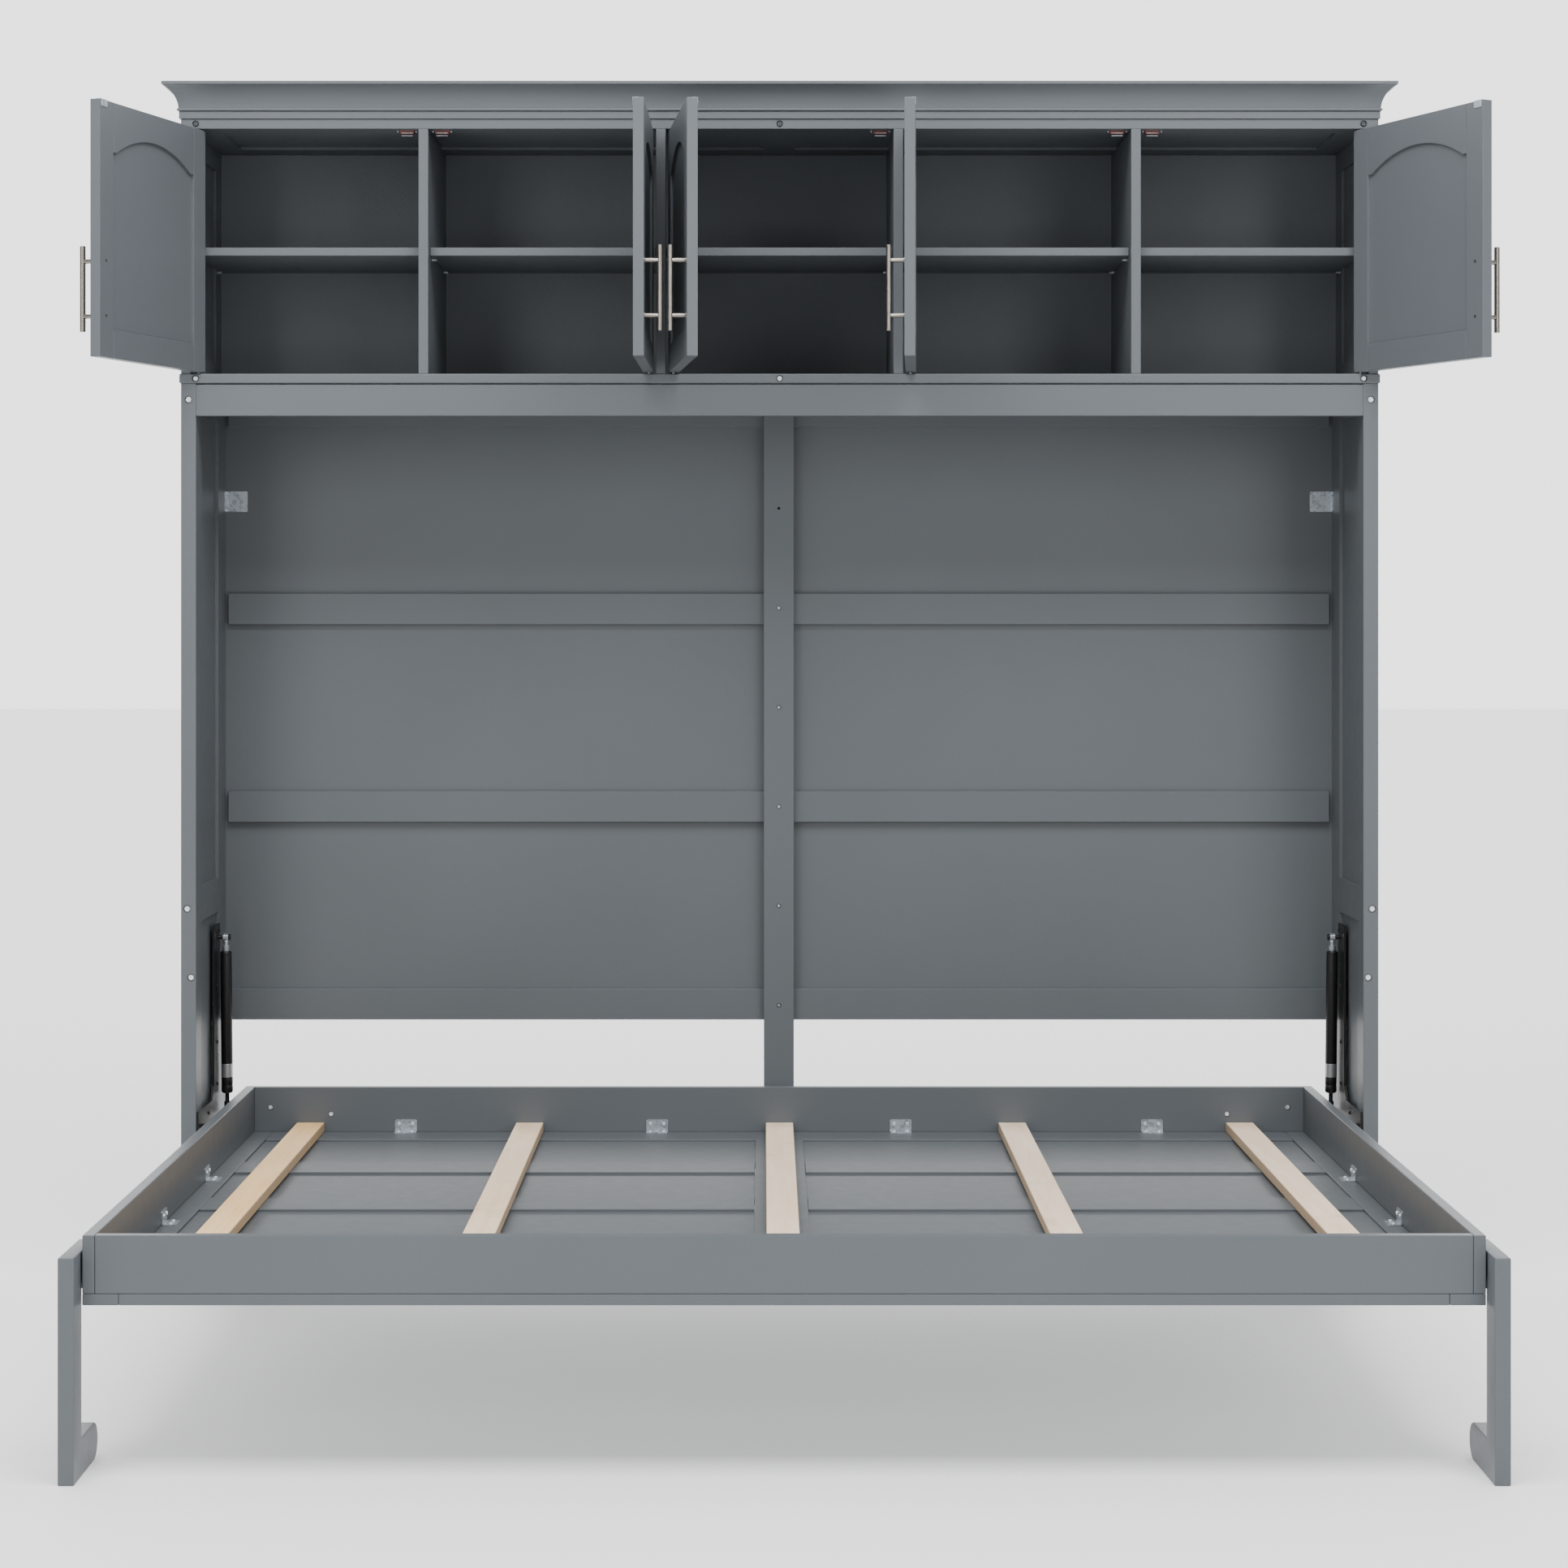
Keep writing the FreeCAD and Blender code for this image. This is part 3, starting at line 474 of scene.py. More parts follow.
bm = bmesh.new()
corner_screws = []
for side in (-1, 1):
    face = [(side * CORNER_X, CORNER_Z[0]), (side * (CORNER_X - CORNER_W), CORNER_Z[0]),
            (side * (CORNER_X - CORNER_W), CORNER_Z[1]), (side * CORNER_X, CORNER_Z[1])]
    outline = [at(x, BACK_Y, z) for x, z in rounded(face, 3.0)]
    slab(bm, outline, Vector((0.0, -CORNER_T * MM, 0.0)), 0.3, segments=1)
    wing = [(BACK_Y, CORNER_Z[0]), (BACK_Y - WING, CORNER_Z[0]), (BACK_Y - WING, CORNER_Z[1]),
            (BACK_Y, CORNER_Z[1])]
    outline = [at(side * CORNER_X, y, z) for y, z in rounded(wing, 3.0)]
    slab(bm, outline, Vector((-side * CORNER_T * MM, 0.0, 0.0)), 0.3, segments=1)
    corner_screws += [(side * (CORNER_X - 1.6), 331.0, z, (-side, 0.0, 0.0)) for z in (1480.0, 1500.0)]
fitted(drawn("corner_angles", bm, zinc), "cabinet", "zinc", "corner_plates")
screws("corner_angle_screws", corner_screws, (2.6, 1.0, 3.0, 1.4), True, zinc, "cabinet", "zinc")

# ---- upper cabinet ------------------------------------------------------------------------------
# Five open bays over the housing: side boards, four partitions, one shelf a bay, a back and the top and bottom
# boards with sunk panels. Lacquered fibreboard, dowelled, with socket screws through the front edges.
finish_cad(painted, "upper_side_left", "upper_side_right", "upper_top_panel", "upper_bottom_panel", "shelves",
           "partition_1", "partition_2", "partition_3", "partition_4")
# The back panel takes the lightened lacquer copy: painted light in the shaded bays.
finish_cad(pebbled_painted_light, "upper_back_panel")
INSIDE_FLOOR = 1715.0
INSIDE_CEILING = 2168.0
BAY = 421.4
BOARD = 18.0
BAY_EDGES = [-1089.5 + bay * (BAY + BOARD) for bay in range(5)]
PANEL_SCREW_X = (-1080.0, 0.0, 1080.0)
bottom_places = [(x, -0.6, INSIDE_FLOOR - BOARD / 2, FRONT) for x in PANEL_SCREW_X]
top_places = [(x, 2.4, INSIDE_CEILING + BOARD / 2, FRONT) for x in PANEL_SCREW_X]
screws("bottom_board_bolts", bottom_places, (4.6, 2.0, 4.7, 2.2), False, bright_zinc, "cabinet", "zinc")
dull_steel = Finish("dull_painted_steel", Metallic=0.6, Roughness=0.5)
dull_steel.to("Base Color", dull_steel.mix(dull_steel.noise(500.0), srgb(66, 69, 72), srgb(96, 99, 102)))
dull_steel.bump(dull_steel.noise(1200.0), 0.00004, 0.4)
dull_steel = dull_steel.material
screws("top_board_screws", top_places, (4.2, 1.8, 4.3, 2.6), True, dull_steel, "cabinet", "zinc")

# ---- shelf pins ---------------------------------------------------------------------------------
# Zinc-plated spoon pins, four to a shelf: a short peg in the board's hole, a collar against the board and a
# flat tongue under the shelf.
nickel = Finish("brushed_nickel", Metallic=1.0, Roughness=0.3)
brushing = nickel.noise(90.0, 3.0, nickel.stretched((26.0, 26.0, 0.6)))
nickel.to("Base Color", nickel.mix(brushing, srgb(132, 127, 121), srgb(168, 162, 154)))
nickel.to("Roughness", nickel.ramp(brushing, 0.3, 0.7, 0.2, 0.36))
nickel.bump(brushing, 0.00005, 0.5)
nickel = nickel.material

pegs, given = geometry_net("spoon_pins", [("Peg Radius", "Float"), ("Reach", "Float"),
                                          ("Material", "Material")])
peg_radius, reach = given["Peg Radius"], given["Reach"]
peg = pegs.add("GeometryNodeMeshCylinder", None, {"Vertices": 16, "Radius": peg_radius, "Depth": reach})
collar = pegs.add("GeometryNodeMeshCylinder", None, {"Vertices": 20, "Radius": peg_radius * 1.35,
                                                     "Depth": peg_radius * 0.4})
tongue_size = pegs.add("ShaderNodeCombineXYZ", None, {"X": peg_radius * 0.5, "Y": peg_radius * 2.6,
                                                      "Z": reach * 0.5})
tongue = pegs.add("GeometryNodeMeshCube", None, {"Size": tongue_size})
tongue_at = pegs.add("ShaderNodeCombineXYZ", None, {"X": peg_radius * 0.75, "Z": reach * 0.25})
tongue = pegs.add("GeometryNodeTransform", None, {"Geometry": tongue, "Translation": tongue_at})
one_peg = pegs.add("GeometryNodeJoinGeometry", None, {0: [peg, collar, tongue]})
spin = pegs.add("GeometryNodeInputNamedAttribute", {"data_type": "FLOAT_VECTOR"}, {"Name": "spin"})
placed = pegs.add("GeometryNodeInstanceOnPoints", None,
                  {"Points": given["Geometry"], "Instance": one_peg, "Rotation": spin})
close_net(pegs, placed, given["Material"])
PIN_Z = 1934.0
PIN_Y_ROWS = (80.0, 310.0)
pin_places = []
pin_spins = []
for left in BAY_EDGES:
    for y in PIN_Y_ROWS:
        pin_places += [at(left + 0.5, y, PIN_Z), at(left + BAY - 0.5, y, PIN_Z)]
        pin_spins += [(0.0, math.pi / 2, 0.0), (math.pi, -math.pi / 2, 0.0)]
pin_mesh = points_mesh("shelf_spoon_pins", pin_places, [("spin", "FLOAT_VECTOR", pin_spins)])
pins = grown("shelf_spoon_pins", pin_mesh, pegs.tree, {"Peg Radius": 2.5 * MM, "Reach": 15.0 * MM,
                                                      "Material": zinc})
fitted(pins, "cabinet", "zinc", "shelf_pins")
finish_cad(zinc, "door_hinge_pins")

# ---- magnetic catches ---------------------------------------------------------------------------
# One under each bay's ceiling at the door's free edge: a moulded red-brown case with two screw ears, and two
# plated pole strips along its face that hold the door's strike.
resin = Finish("moulded_resin", Roughness=0.45, IOR=1.46)
resin.to("Base Color", resin.mix(resin.noise(300.0), srgb(92, 44, 38), srgb(118, 60, 52)))
resin.bump(resin.noise(1500.0), 0.00005, 0.5)
resin = resin.material

cases, given = geometry_net("catch_cases", [("Length", "Float"), ("Depth", "Float"), ("Drop", "Float"),
                                            ("Strips", "Bool"), ("Material", "Material")])
length, deep, drop = given["Length"], given["Depth"], given["Drop"]
ear_size = cases.add("ShaderNodeCombineXYZ", None, {"X": length, "Y": deep * 0.9, "Z": drop * 0.3})
ears = cases.add("GeometryNodeMeshCube", None, {"Size": ear_size})
ears_up = cases.add("ShaderNodeCombineXYZ", None, {"Z": drop * 0.35})
ears = cases.add("GeometryNodeTransform", None, {"Geometry": ears, "Translation": ears_up})
case_cone = cases.add("GeometryNodeMeshCone", None, {"Vertices": 4, "Radius Top": 0.78, "Radius Bottom": 0.66,
                                                     "Depth": 1.0})
case_square = cases.add("GeometryNodeTransform", None, {"Geometry": case_cone,
                                                        "Rotation": (0.0, 0.0, math.pi / 4)})
case_size = cases.add("ShaderNodeCombineXYZ", None, {"X": length * 0.66, "Y": deep * 0.9, "Z": drop * 0.98})
case_down = cases.add("ShaderNodeCombineXYZ", None, {"Z": drop * -0.49})
case_body = cases.add("GeometryNodeTransform", None, {"Geometry": case_square, "Scale": case_size,
                                                      "Translation": case_down})
strip_size = cases.add("ShaderNodeCombineXYZ", None, {"X": length * 0.5, "Y": deep * 0.5, "Z": drop * 0.09})
strip = cases.add("GeometryNodeMeshCube", None, {"Size": strip_size})
strip_rows = []
for share, push in ((-0.36, -0.255), (-0.74, -0.225)):
    strip_at = cases.add("ShaderNodeCombineXYZ", None, {"Y": deep * push, "Z": drop * share})
    strip_rows.append(cases.add("GeometryNodeTransform", None, {"Geometry": strip, "Translation": strip_at}))
strips = cases.add("GeometryNodeJoinGeometry", None, {0: strip_rows})
plastic = cases.add("GeometryNodeJoinGeometry", None, {0: [ears, case_body]})
chosen = cases.add("GeometryNodeSwitch", {"input_type": "GEOMETRY"},
                   {"Switch": given["Strips"], "False": plastic, "True": strips})
placed = cases.add("GeometryNodeInstanceOnPoints", None, {"Points": given["Geometry"], "Instance": chosen})
close_net(cases, placed, given["Material"])

HINGES = ("left", "right", "left", "left", "right")
CATCH_L = 41.0
catch_x = [left + BAY - CATCH_L / 2 - 3 if hinge == "left" else left + CATCH_L / 2 + 3
           for left, hinge in zip(BAY_EDGES, HINGES)]
CATCH_Y = 30.0
catch_places = [at(x, CATCH_Y, INSIDE_CEILING) for x in catch_x]
catch_sizes = {"Length": CATCH_L * MM, "Depth": 16.0 * MM, "Drop": 13.0 * MM}
catch_mesh = points_mesh("catch_cases", catch_places, [])
catch_case = grown("catch_cases", catch_mesh, cases.tree, {**catch_sizes, "Strips": False, "Material": resin})
soften = catch_case.modifiers.new("ease", "BEVEL")
soften.width = 0.5 * MM
soften.segments = 2
fitted(catch_case, "cabinet", "catch_plastic", "magnetic_catches")
catch_mesh = points_mesh("catch_strips", catch_places, [])
strips_made = grown("catch_strips", catch_mesh, cases.tree, {**catch_sizes, "Strips": True, "Material": zinc})
fitted(strips_made, "cabinet", "zinc")
ear_screws = [(x + side * 17.0, 22.6, INSIDE_CEILING - 2.2, FRONT) for x in catch_x for side in (-1, 1)]
screws("catch_screws", ear_screws, (1.5, 0.7, 1.7, 0.9), True, zinc, "cabinet", "zinc")

# ---- crown --------------------------------------------------------------------------------------
# A pine crown run round the front and both ends and mitred at the corners: square lip, hollow cove and a bead,
# on a flat strip. Glued and pinned to the top board, then lacquered with the rest.
HALF_WIDTH = 1107.5
DEPTH = 360.0
CROWN_INSIDE = -15.0


def arc_through(first, middle, last, steps):
    """Points on the circle through three 2-D points, from first to last."""
    ax, ay = first
    bx, by = middle
    cx, cy = last
    a, b, c = (x * x + y * y for x, y in (first, middle, last))
    d = 2 * (ax * (by - cy) + bx * (cy - ay) + cx * (ay - by))
    ux = (a * (by - cy) + b * (cy - ay) + c * (ay - by)) / d
    uy = (a * (cx - bx) + b * (ax - cx) + c * (bx - ax)) / d
    radius = math.hypot(ax - ux, ay - uy)
    start = math.atan2(ay - uy, ax - ux)
    via = (math.atan2(by - uy, bx - ux) - start) % (2 * math.pi)
    end = (math.atan2(cy - uy, cx - ux) - start) % (2 * math.pi)
    if via > end:
        end -= 2 * math.pi
    return [(ux + radius * math.cos(start + end * i / steps), uy + radius * math.sin(start + end * i / steps))
            for i in range(steps + 1)]


def mitred_run(bm, profile):
    """Runs a closed profile of (outward, height) points round the cabinet's front and ends."""
    rings = []
    for out, z in profile:
        stops = ((-HALF_WIDTH - out, DEPTH), (-HALF_WIDTH - out, -out), (HALF_WIDTH + out, -out),
                 (HALF_WIDTH + out, DEPTH))
        rings.append([bm.verts.new(at(x, y, z)) for x, y in stops])
    for index, ring in enumerate(rings):
        after = rings[(index + 1) % len(rings)]
        for stop in range(3):
            bm.faces.new((ring[stop], ring[stop + 1], after[stop + 1], after[stop]))
    bm.faces.new([ring[0] for ring in rings])
    bm.faces.new([ring[3] for ring in reversed(rings)])


def smoothed(piece, degrees=32.0):
    piece.data.shade_smooth()
    piece.data.set_sharp_from_angle(angle=math.radians(degrees))
    return piece


bm = bmesh.new()
bead = arc_through((4.0, 2200.4), (6.7, 2202.9), (4.0, 2205.5), 8)
cove = arc_through((4.0, 2205.5), (10.5, 2227.5), (29.0, 2246.0), 22)
lip = [(30.4, 2246.0), (31.0, 2246.6), (31.0, 2251.4), (30.4, 2252.0)]
mitred_run(bm, [(CROWN_INSIDE, 2200.4)] + bead + cove[1:] + lip + [(CROWN_INSIDE, 2252.0)])
fitted(smoothed(drawn("crown_cove", bm, painted)), "cabinet", "paint", "crown_moulding")
bm = bmesh.new()
strip_line = [(2.4, 2186.2), (3.0, 2186.8), (3.0, 2199.0), (2.2, 2200.2)]
mitred_run(bm, [(CROWN_INSIDE, 2186.2)] + strip_line + [(CROWN_INSIDE, 2200.2)])
fitted(drawn("crown_strip", bm, painted), "cabinet", "paint", "crown_base_strip")

# ---- doors --------------------------------------------------------------------------------------
# Five cope-and-stick doors with an arched top rail: stiles run full height, the rails butt between them and the
# panel floats in their groove. The joints show as fine lines in the lacquer.
DOOR_W = 414.4
DOOR_H = 448.0
DOOR_T = 19.0
STILE = 50.0
SHOULDER = 360.0
ARCH_TOP = 396.0
HANDLE_X = DOOR_W - 24.0
POSTS = (72.0, 168.0)
PIN_INSET = 10.0
PIN_Y = 8.5
DOOR_FOOT = INSIDE_FLOOR + 2.5
OPEN_ANGLES = (106.6, 89.5, 83.9, 92.8, 112.5)
JOINT = 0.35
DOOR_JOINT = 1.0


def turned(bm, start, direction, profile, segments=32):
    """A turned shape: (distance, radius) pairs in mm along a direction from a start place in metres."""
    direction = Vector(direction).normalized()
    across = direction.orthogonal().normalized()
    other = direction.cross(across)
    rings = []
    for distance, radius in profile:
        middle = start + direction * distance * MM
        rings.append([bm.verts.new(middle + (across * math.cos(a) + other * math.sin(a)) * radius * MM)
                      for a in (2 * math.pi * i / segments for i in range(segments))])
    for low, high in zip(rings, rings[1:]):
        for i in range(segments):
            bm.faces.new((low[i], low[(i + 1) % segments], high[(i + 1) % segments], high[i]))
    bm.faces.new(list(reversed(rings[0])))
    bm.faces.new(rings[-1])


def in_door(x, y, z):
    """A place in a door, in mm from the foot of its hinge edge, front face at y = 0."""
    return Vector((x, y, z)) * MM


def hang(piece, bay):
    """Mirrors a door piece where the pins are on the right, and swings it open on them."""
    left = HINGES[bay] == "left"
    flip = 1.0 if left else -1.0
    pin_x = BAY_EDGES[bay] + 3.5 + PIN_INSET if left else BAY_EDGES[bay] + BAY - 3.5 - PIN_INSET
    swing = Matrix.Rotation(math.radians(-OPEN_ANGLES[bay] * flip), 4, "Z")
    mirror = Matrix.Diagonal((flip, 1.0, 1.0, 1.0))
    inset = Matrix.Translation(in_door(-PIN_INSET, -PIN_Y, DOOR_FOOT))
    pin = Matrix.Translation(at(pin_x, PIN_Y, 0.0))
    piece.data.transform(pin @ swing @ mirror @ inset)
    if not left:
        piece.data.flip_normals()
    return piece


def door_frame_mesh(bm):
    hinge_edge = [(STILE, 0.0), (3.0, 0.0), (0.9, 0.9), (0.0, 3.0), (0.0, 15.0), (1.2, 17.8), (4.0, 19.0),
                  (STILE, 19.0)]
    up = Vector((0.0, 0.0, DOOR_H * MM))
    slab(bm, [in_door(x, y, 0.0) for x, y in hinge_edge], up, 0.7)
    free_edge = [(DOOR_W - STILE, 0.0), (DOOR_W, 0.0), (DOOR_W, DOOR_T), (DOOR_W - STILE, DOOR_T)]
    slab(bm, [in_door(x, y, 0.0) for x, y in free_edge], up, 0.9)
    through = Vector((0.0, DOOR_T * MM, 0.0))
    right = DOOR_W - STILE
    left_butt = STILE + DOOR_JOINT
    right_butt = right - DOOR_JOINT
    foot_rail = [(left_butt, 0.0), (right_butt, 0.0), (right_butt, STILE), (left_butt, STILE)]
    slab(bm, [in_door(x, 0.0, z) for x, z in foot_rail], through, 1.1)
    arch = arc_through((STILE + 12, SHOULDER), (DOOR_W / 2, ARCH_TOP), (right - 12, SHOULDER), 40)
    head_rail = [(left_butt, DOOR_H), (left_butt, SHOULDER), *arch, (right_butt, SHOULDER), (right_butt, DOOR_H)]
    slab(bm, [in_door(x, 0.0, z) for x, z in head_rail], through, 1.1, sharp=0.5)


def bored(piece, spots, radius, depth):
    """Sinks round holes in a piece's back face; spots are door places on that face."""
    cutter_bm = bmesh.new()
    for x, z in spots:
        turned(cutter_bm, in_door(x, DOOR_T - depth, z), BACK, [(0.0, radius), (depth + 2.0, radius)], 24)
    cutter = drawn(piece.name + "_drill", cutter_bm, piece.data.materials[0])
    cut = piece.modifiers.new("drill", "BOOLEAN")
    cut.operation = "DIFFERENCE"
    cut.solver = "EXACT"
    cut.object = cutter
    bpy.context.view_layer.update()
    result = bpy.data.meshes.new_from_object(piece.evaluated_get(bpy.context.evaluated_depsgraph_get()))
    piece.modifiers.clear()
    piece.data = result
    bpy.data.objects.remove(cutter)
    return piece


for bay in range(5):
    number = bay + 1
    body = "door_%d" % number
    bm = bmesh.new()
    door_frame_mesh(bm)
    members = bored(drawn("door_%d_members" % number, bm, painted), [(HANDLE_X, z) for z in POSTS], 3.4, 4.0)
    fitted(hang(members, bay), body, "paint", "door_%d_frame" % number)
    finish_cad(painted, "door_%d_panel" % number)

    # The bar handle: a turned nickel bar on two posts, pulled tight by machine screws from behind.
    bm = bmesh.new()
    bar_ends = [(0.0, 4.2), (0.8, 5.0), (149.2, 5.0), (150.0, 4.2)]
    turned(bm, in_door(HANDLE_X, -27.0, 45.0), UP, bar_ends)
    for z in POSTS:
        post = [(0.0, 5.4), (1.2, 5.4), (1.8, 4.0), (24.0, 4.0), (25.0, 3.4)]
        turned(bm, in_door(HANDLE_X, 0.0, z), FRONT, post)
    handle = smoothed(drawn("door_%d_handle" % number, bm, nickel))
    fitted(hang(handle, bay), body, "nickel", "door_%d_fittings" % number)
    bm = bmesh.new()
    for z in POSTS:
        turned(bm, in_door(HANDLE_X, 15.1, z), BACK, [(0.0, 2.0), (0.2, 3.0), (0.9, 2.7), (1.2, 1.8)], 20)
    fitted(hang(smoothed(drawn("door_%d_handle_screws" % number, bm, dull_steel)), bay), body, "zinc")

    # The strike: a small bent zinc plate folded over the door's top edge where it meets the magnet.
    bm = bmesh.new()
    strike = [(9.0, 447.9), (18.7, 447.9), (18.9, 447.7), (18.9, 436.0), (19.9, 436.0), (19.9, 448.4),
              (19.4, 448.9), (9.0, 448.9)]
    slab(bm, [in_door(DOOR_W - 26.0, y, z) for y, z in strike], Vector((22.0 * MM, 0.0, 0.0)), 0.2, segments=1)
    fitted(hang(drawn("door_%d_strike" % number, bm, zinc), bay), body, "zinc")

# ---- bed box ------------------------------------------------------------------------------------
# Four deep rails round the mattress space, on the face board that becomes the closed cabinet's front. The
# board's side stiles run its whole length, its cross rails butt between them, and thin panels are let in.
BED_HALF = 1031.0
BED_FRONT = -1274.0
BED_REAR = 290.0
FACE_Z = (254.0, 271.0)
FACE_STILE = 53.0
CENTRE_STILE = 45.0
PANEL_ROWS = ((-1207.0, -945.0), (-833.0, -571.0), (-459.0, -197.0), (-85.0, 177.0))
RAIL_TOP = 357.0
finish_cad(painted, "bed_rail_rear", "face_board_panels")
bm = bmesh.new()
rail_in = BED_HALF - BOARD
for side in (-1, 1):
    near, far = sorted((side * rail_in, side * BED_HALF))
    brick(bm, near, far, BED_FRONT, BED_REAR, FACE_Z[1] + JOINT, RAIL_TOP, 1.3)
brick(bm, JOINT - rail_in, rail_in - JOINT, BED_FRONT, BED_FRONT + BOARD, FACE_Z[1] + JOINT, RAIL_TOP, 1.3)
fitted(drawn("bed_rail_boards", bm, painted), "bed", "paint",
       "bed_rail_left", "bed_rail_right", "bed_rail_front")
bm = bmesh.new()
face_in = BED_HALF - FACE_STILE
for side in (-1, 1):
    near, far = sorted((side * face_in, side * BED_HALF))
    brick(bm, near, far, BED_FRONT, BED_REAR, *FACE_Z, 1.2)
butt = face_in - JOINT
brick(bm, -butt, butt, BED_FRONT, PANEL_ROWS[0][0], *FACE_Z, 1.2)
brick(bm, -butt, butt, PANEL_ROWS[-1][1], BED_REAR, *FACE_Z, 1.2)
brick(bm, -CENTRE_STILE, CENTRE_STILE, PANEL_ROWS[0][0] + JOINT, PANEL_ROWS[-1][1] - JOINT, *FACE_Z, 1.2)
for lower, upper in zip(PANEL_ROWS, PANEL_ROWS[1:]):
    for side in (-1, 1):
        near, far = sorted((side * (CENTRE_STILE + JOINT), side * butt))
        brick(bm, near, far, lower[1], upper[0], *FACE_Z, 1.2)
fitted(drawn("face_board_members", bm, painted), "bed", "paint", "face_board_frame")

# ---- slats --------------------------------------------------------------------------------------
# Five loose birch plywood slats laid front to rear on the face board: rotary-cut veneer faces with small knots,
# thirteen glued plies showing on the edges, and sawn arrises eased by sanding.
PLIES = 13
SLAT_T = 18.0
ply_pitch = SLAT_T * MM / PLIES
birch = Finish("birch_plywood", Roughness=0.55, IOR=1.45)
shade = birch.add("ShaderNodeAttribute", {"attribute_name": "shade"}, out=2)
flow = birch.stretched((14.0, 1.1, 14.0))
figure = birch.noise(3.2, 4.0, flow, 0.6)
pores = birch.noise(30.0, 3.0, birch.stretched((26.0, 1.6, 26.0)))
grain = figure * 0.7 + pores * 0.3
base = birch.mix(birch.ramp(grain, 0.34, 0.66), srgb(248, 214, 184), srgb(255, 238, 216))
heartwood = birch.mix(birch.ramp(grain, 0.34, 0.66), srgb(240, 186, 114), srgb(255, 216, 154))
base = birch.mix(shade, base, heartwood)
knot_field = birch.add("ShaderNodeTexVoronoi", {"feature": "F1"},
                       {"Vector": birch.stretched((1.0, 0.55, 0.05)), "Scale": 4.4}, out=0)
knots = birch.ramp(knot_field, 0.012, 0.05, 0.75, 0.0)
base = birch.mix(knots, base, srgb(150, 110, 72))
stain = birch.noise(9.0, 2.0)
base = birch.mix(birch.ramp(stain, 0.58, 0.75, 0.0, 0.35), base, srgb(206, 182, 150))
level = birch.add("ShaderNodeSeparateXYZ", None, {0: birch.place}, out=2)
ply = ((level - FACE_Z[1] * MM) / ply_pitch) % 2.0 > 1.0
edge_side = birch.add("ShaderNodeSeparateXYZ", None, {0: birch.add("ShaderNodeNewGeometry", out=1)}, out=2)
on_edge = edge_side * edge_side < 0.5
end_grain = birch.mix(ply, srgb(196, 168, 132), srgb(142, 112, 80))
birch.to("Base Color", birch.mix(on_edge * 0.8, base, end_grain))
birch.to("Roughness", birch.ramp(grain, 0.3, 0.7, 0.48, 0.62))
birch.bump(pores * 0.7 + figure * 0.3, 0.00018, 0.5)
birch = birch.material

slats, given = geometry_net("plywood_slats", [("Width", "Float"), ("Thickness", "Float"), ("Length", "Float"),
                                              ("Plies", "Int"), ("Groove", "Float"), ("Ease", "Float"),
                                              ("Material", "Material")])
wide, thick, plies = given["Width"], given["Thickness"], given["Plies"]
size = slats.add("ShaderNodeCombineXYZ", None, {"X": wide, "Y": given["Length"], "Z": thick})
blank = slats.add("GeometryNodeMeshCube", None, {"Size": size, "Vertices Z": plies + 1.0})
where = slats.add("GeometryNodeInputPosition")
blank_x = slats.add("ShaderNodeSeparateXYZ", None, {0: where}, out=0)
blank_z = slats.add("ShaderNodeSeparateXYZ", None, {0: where}, out=2)
row = slats.add("ShaderNodeMath", {"operation": "ROUND"}, {0: (blank_z / thick + 0.5) * plies})
outside = slats.add("ShaderNodeMath", {"operation": "SIGN"}, {0: blank_x})
at_face = ((row < 0.5) + (row > plies - 0.5)) * given["Ease"]
inward = outside * (at_face + (row % 2.0) * given["Groove"]) * -1.0
move = slats.add("ShaderNodeCombineXYZ", None, {"X": inward})
shaped = slats.add("GeometryNodeSetPosition", None, {"Geometry": blank, "Offset": move})
placed = slats.add("GeometryNodeInstanceOnPoints", None, {"Points": given["Geometry"], "Instance": shaped})
close_net(slats, placed, given["Material"])
SLAT_X = (-904.0, -481.0, 1.0, 450.0, 889.0)
SLAT_SHADE = (0.85, 0.2, 0.1, 0.05, 0.12)
slat_y = (BED_FRONT + BED_REAR) / 2
slat_mesh = points_mesh("plywood_slats", [at(x, slat_y, FACE_Z[1] + SLAT_T / 2) for x in SLAT_X],
                        [("shade", "FLOAT", SLAT_SHADE)])
laid = grown("plywood_slats", slat_mesh, slats.tree, {
    "Width": 53.0 * MM, "Thickness": SLAT_T * MM, "Length": (BED_REAR - BED_FRONT - 2 * BOARD - 4.0) * MM,
    "Plies": PLIES, "Groove": 0.2 * MM, "Ease": 0.8 * MM, "Material": birch})
fitted(laid, "bed", "birch", "bed_slats")

# ---- brackets in the bed ------------------------------------------------------------------------
# Twelve bent zinc angles hold the rails down on the face board, each with four cross-head screws; socket bolts
# through the rear rail reach the pivot blocks.
ANGLE_W = 42.0
ANGLE_LEG = 24.0
ANGLE_T = 2.0
angles, given = geometry_net("bent_angles", [("Width", "Float"), ("Leg", "Float"), ("Thickness", "Float"),
                                             ("Corner", "Float"), ("Material", "Material")])
leg_size, sheet_t = given["Leg"], given["Thickness"]
flat = angles.add("GeometryNodeCurvePrimitiveQuadrilateral", None,
                  {"Width": given["Width"], "Height": leg_size})
flat = angles.add("GeometryNodeFilletCurve", {"mode": "POLY"},
                  {"Curve": flat, "Radius": given["Corner"], "Count": 4, "Limit Radius": True})
sheet = angles.add("GeometryNodeFillCurve", None, {"Curve": flat})
raised = angles.add("GeometryNodeExtrudeMesh", None,
                    {"Mesh": sheet, "Offset Scale": sheet_t, "Individual": False})
under = angles.add("GeometryNodeFlipFaces", None, {"Mesh": sheet})
both = angles.add("GeometryNodeJoinGeometry", None, {0: [raised, under]})
plate = angles.add("GeometryNodeMergeByDistance", None, {"Geometry": both, "Distance": 0.00001})
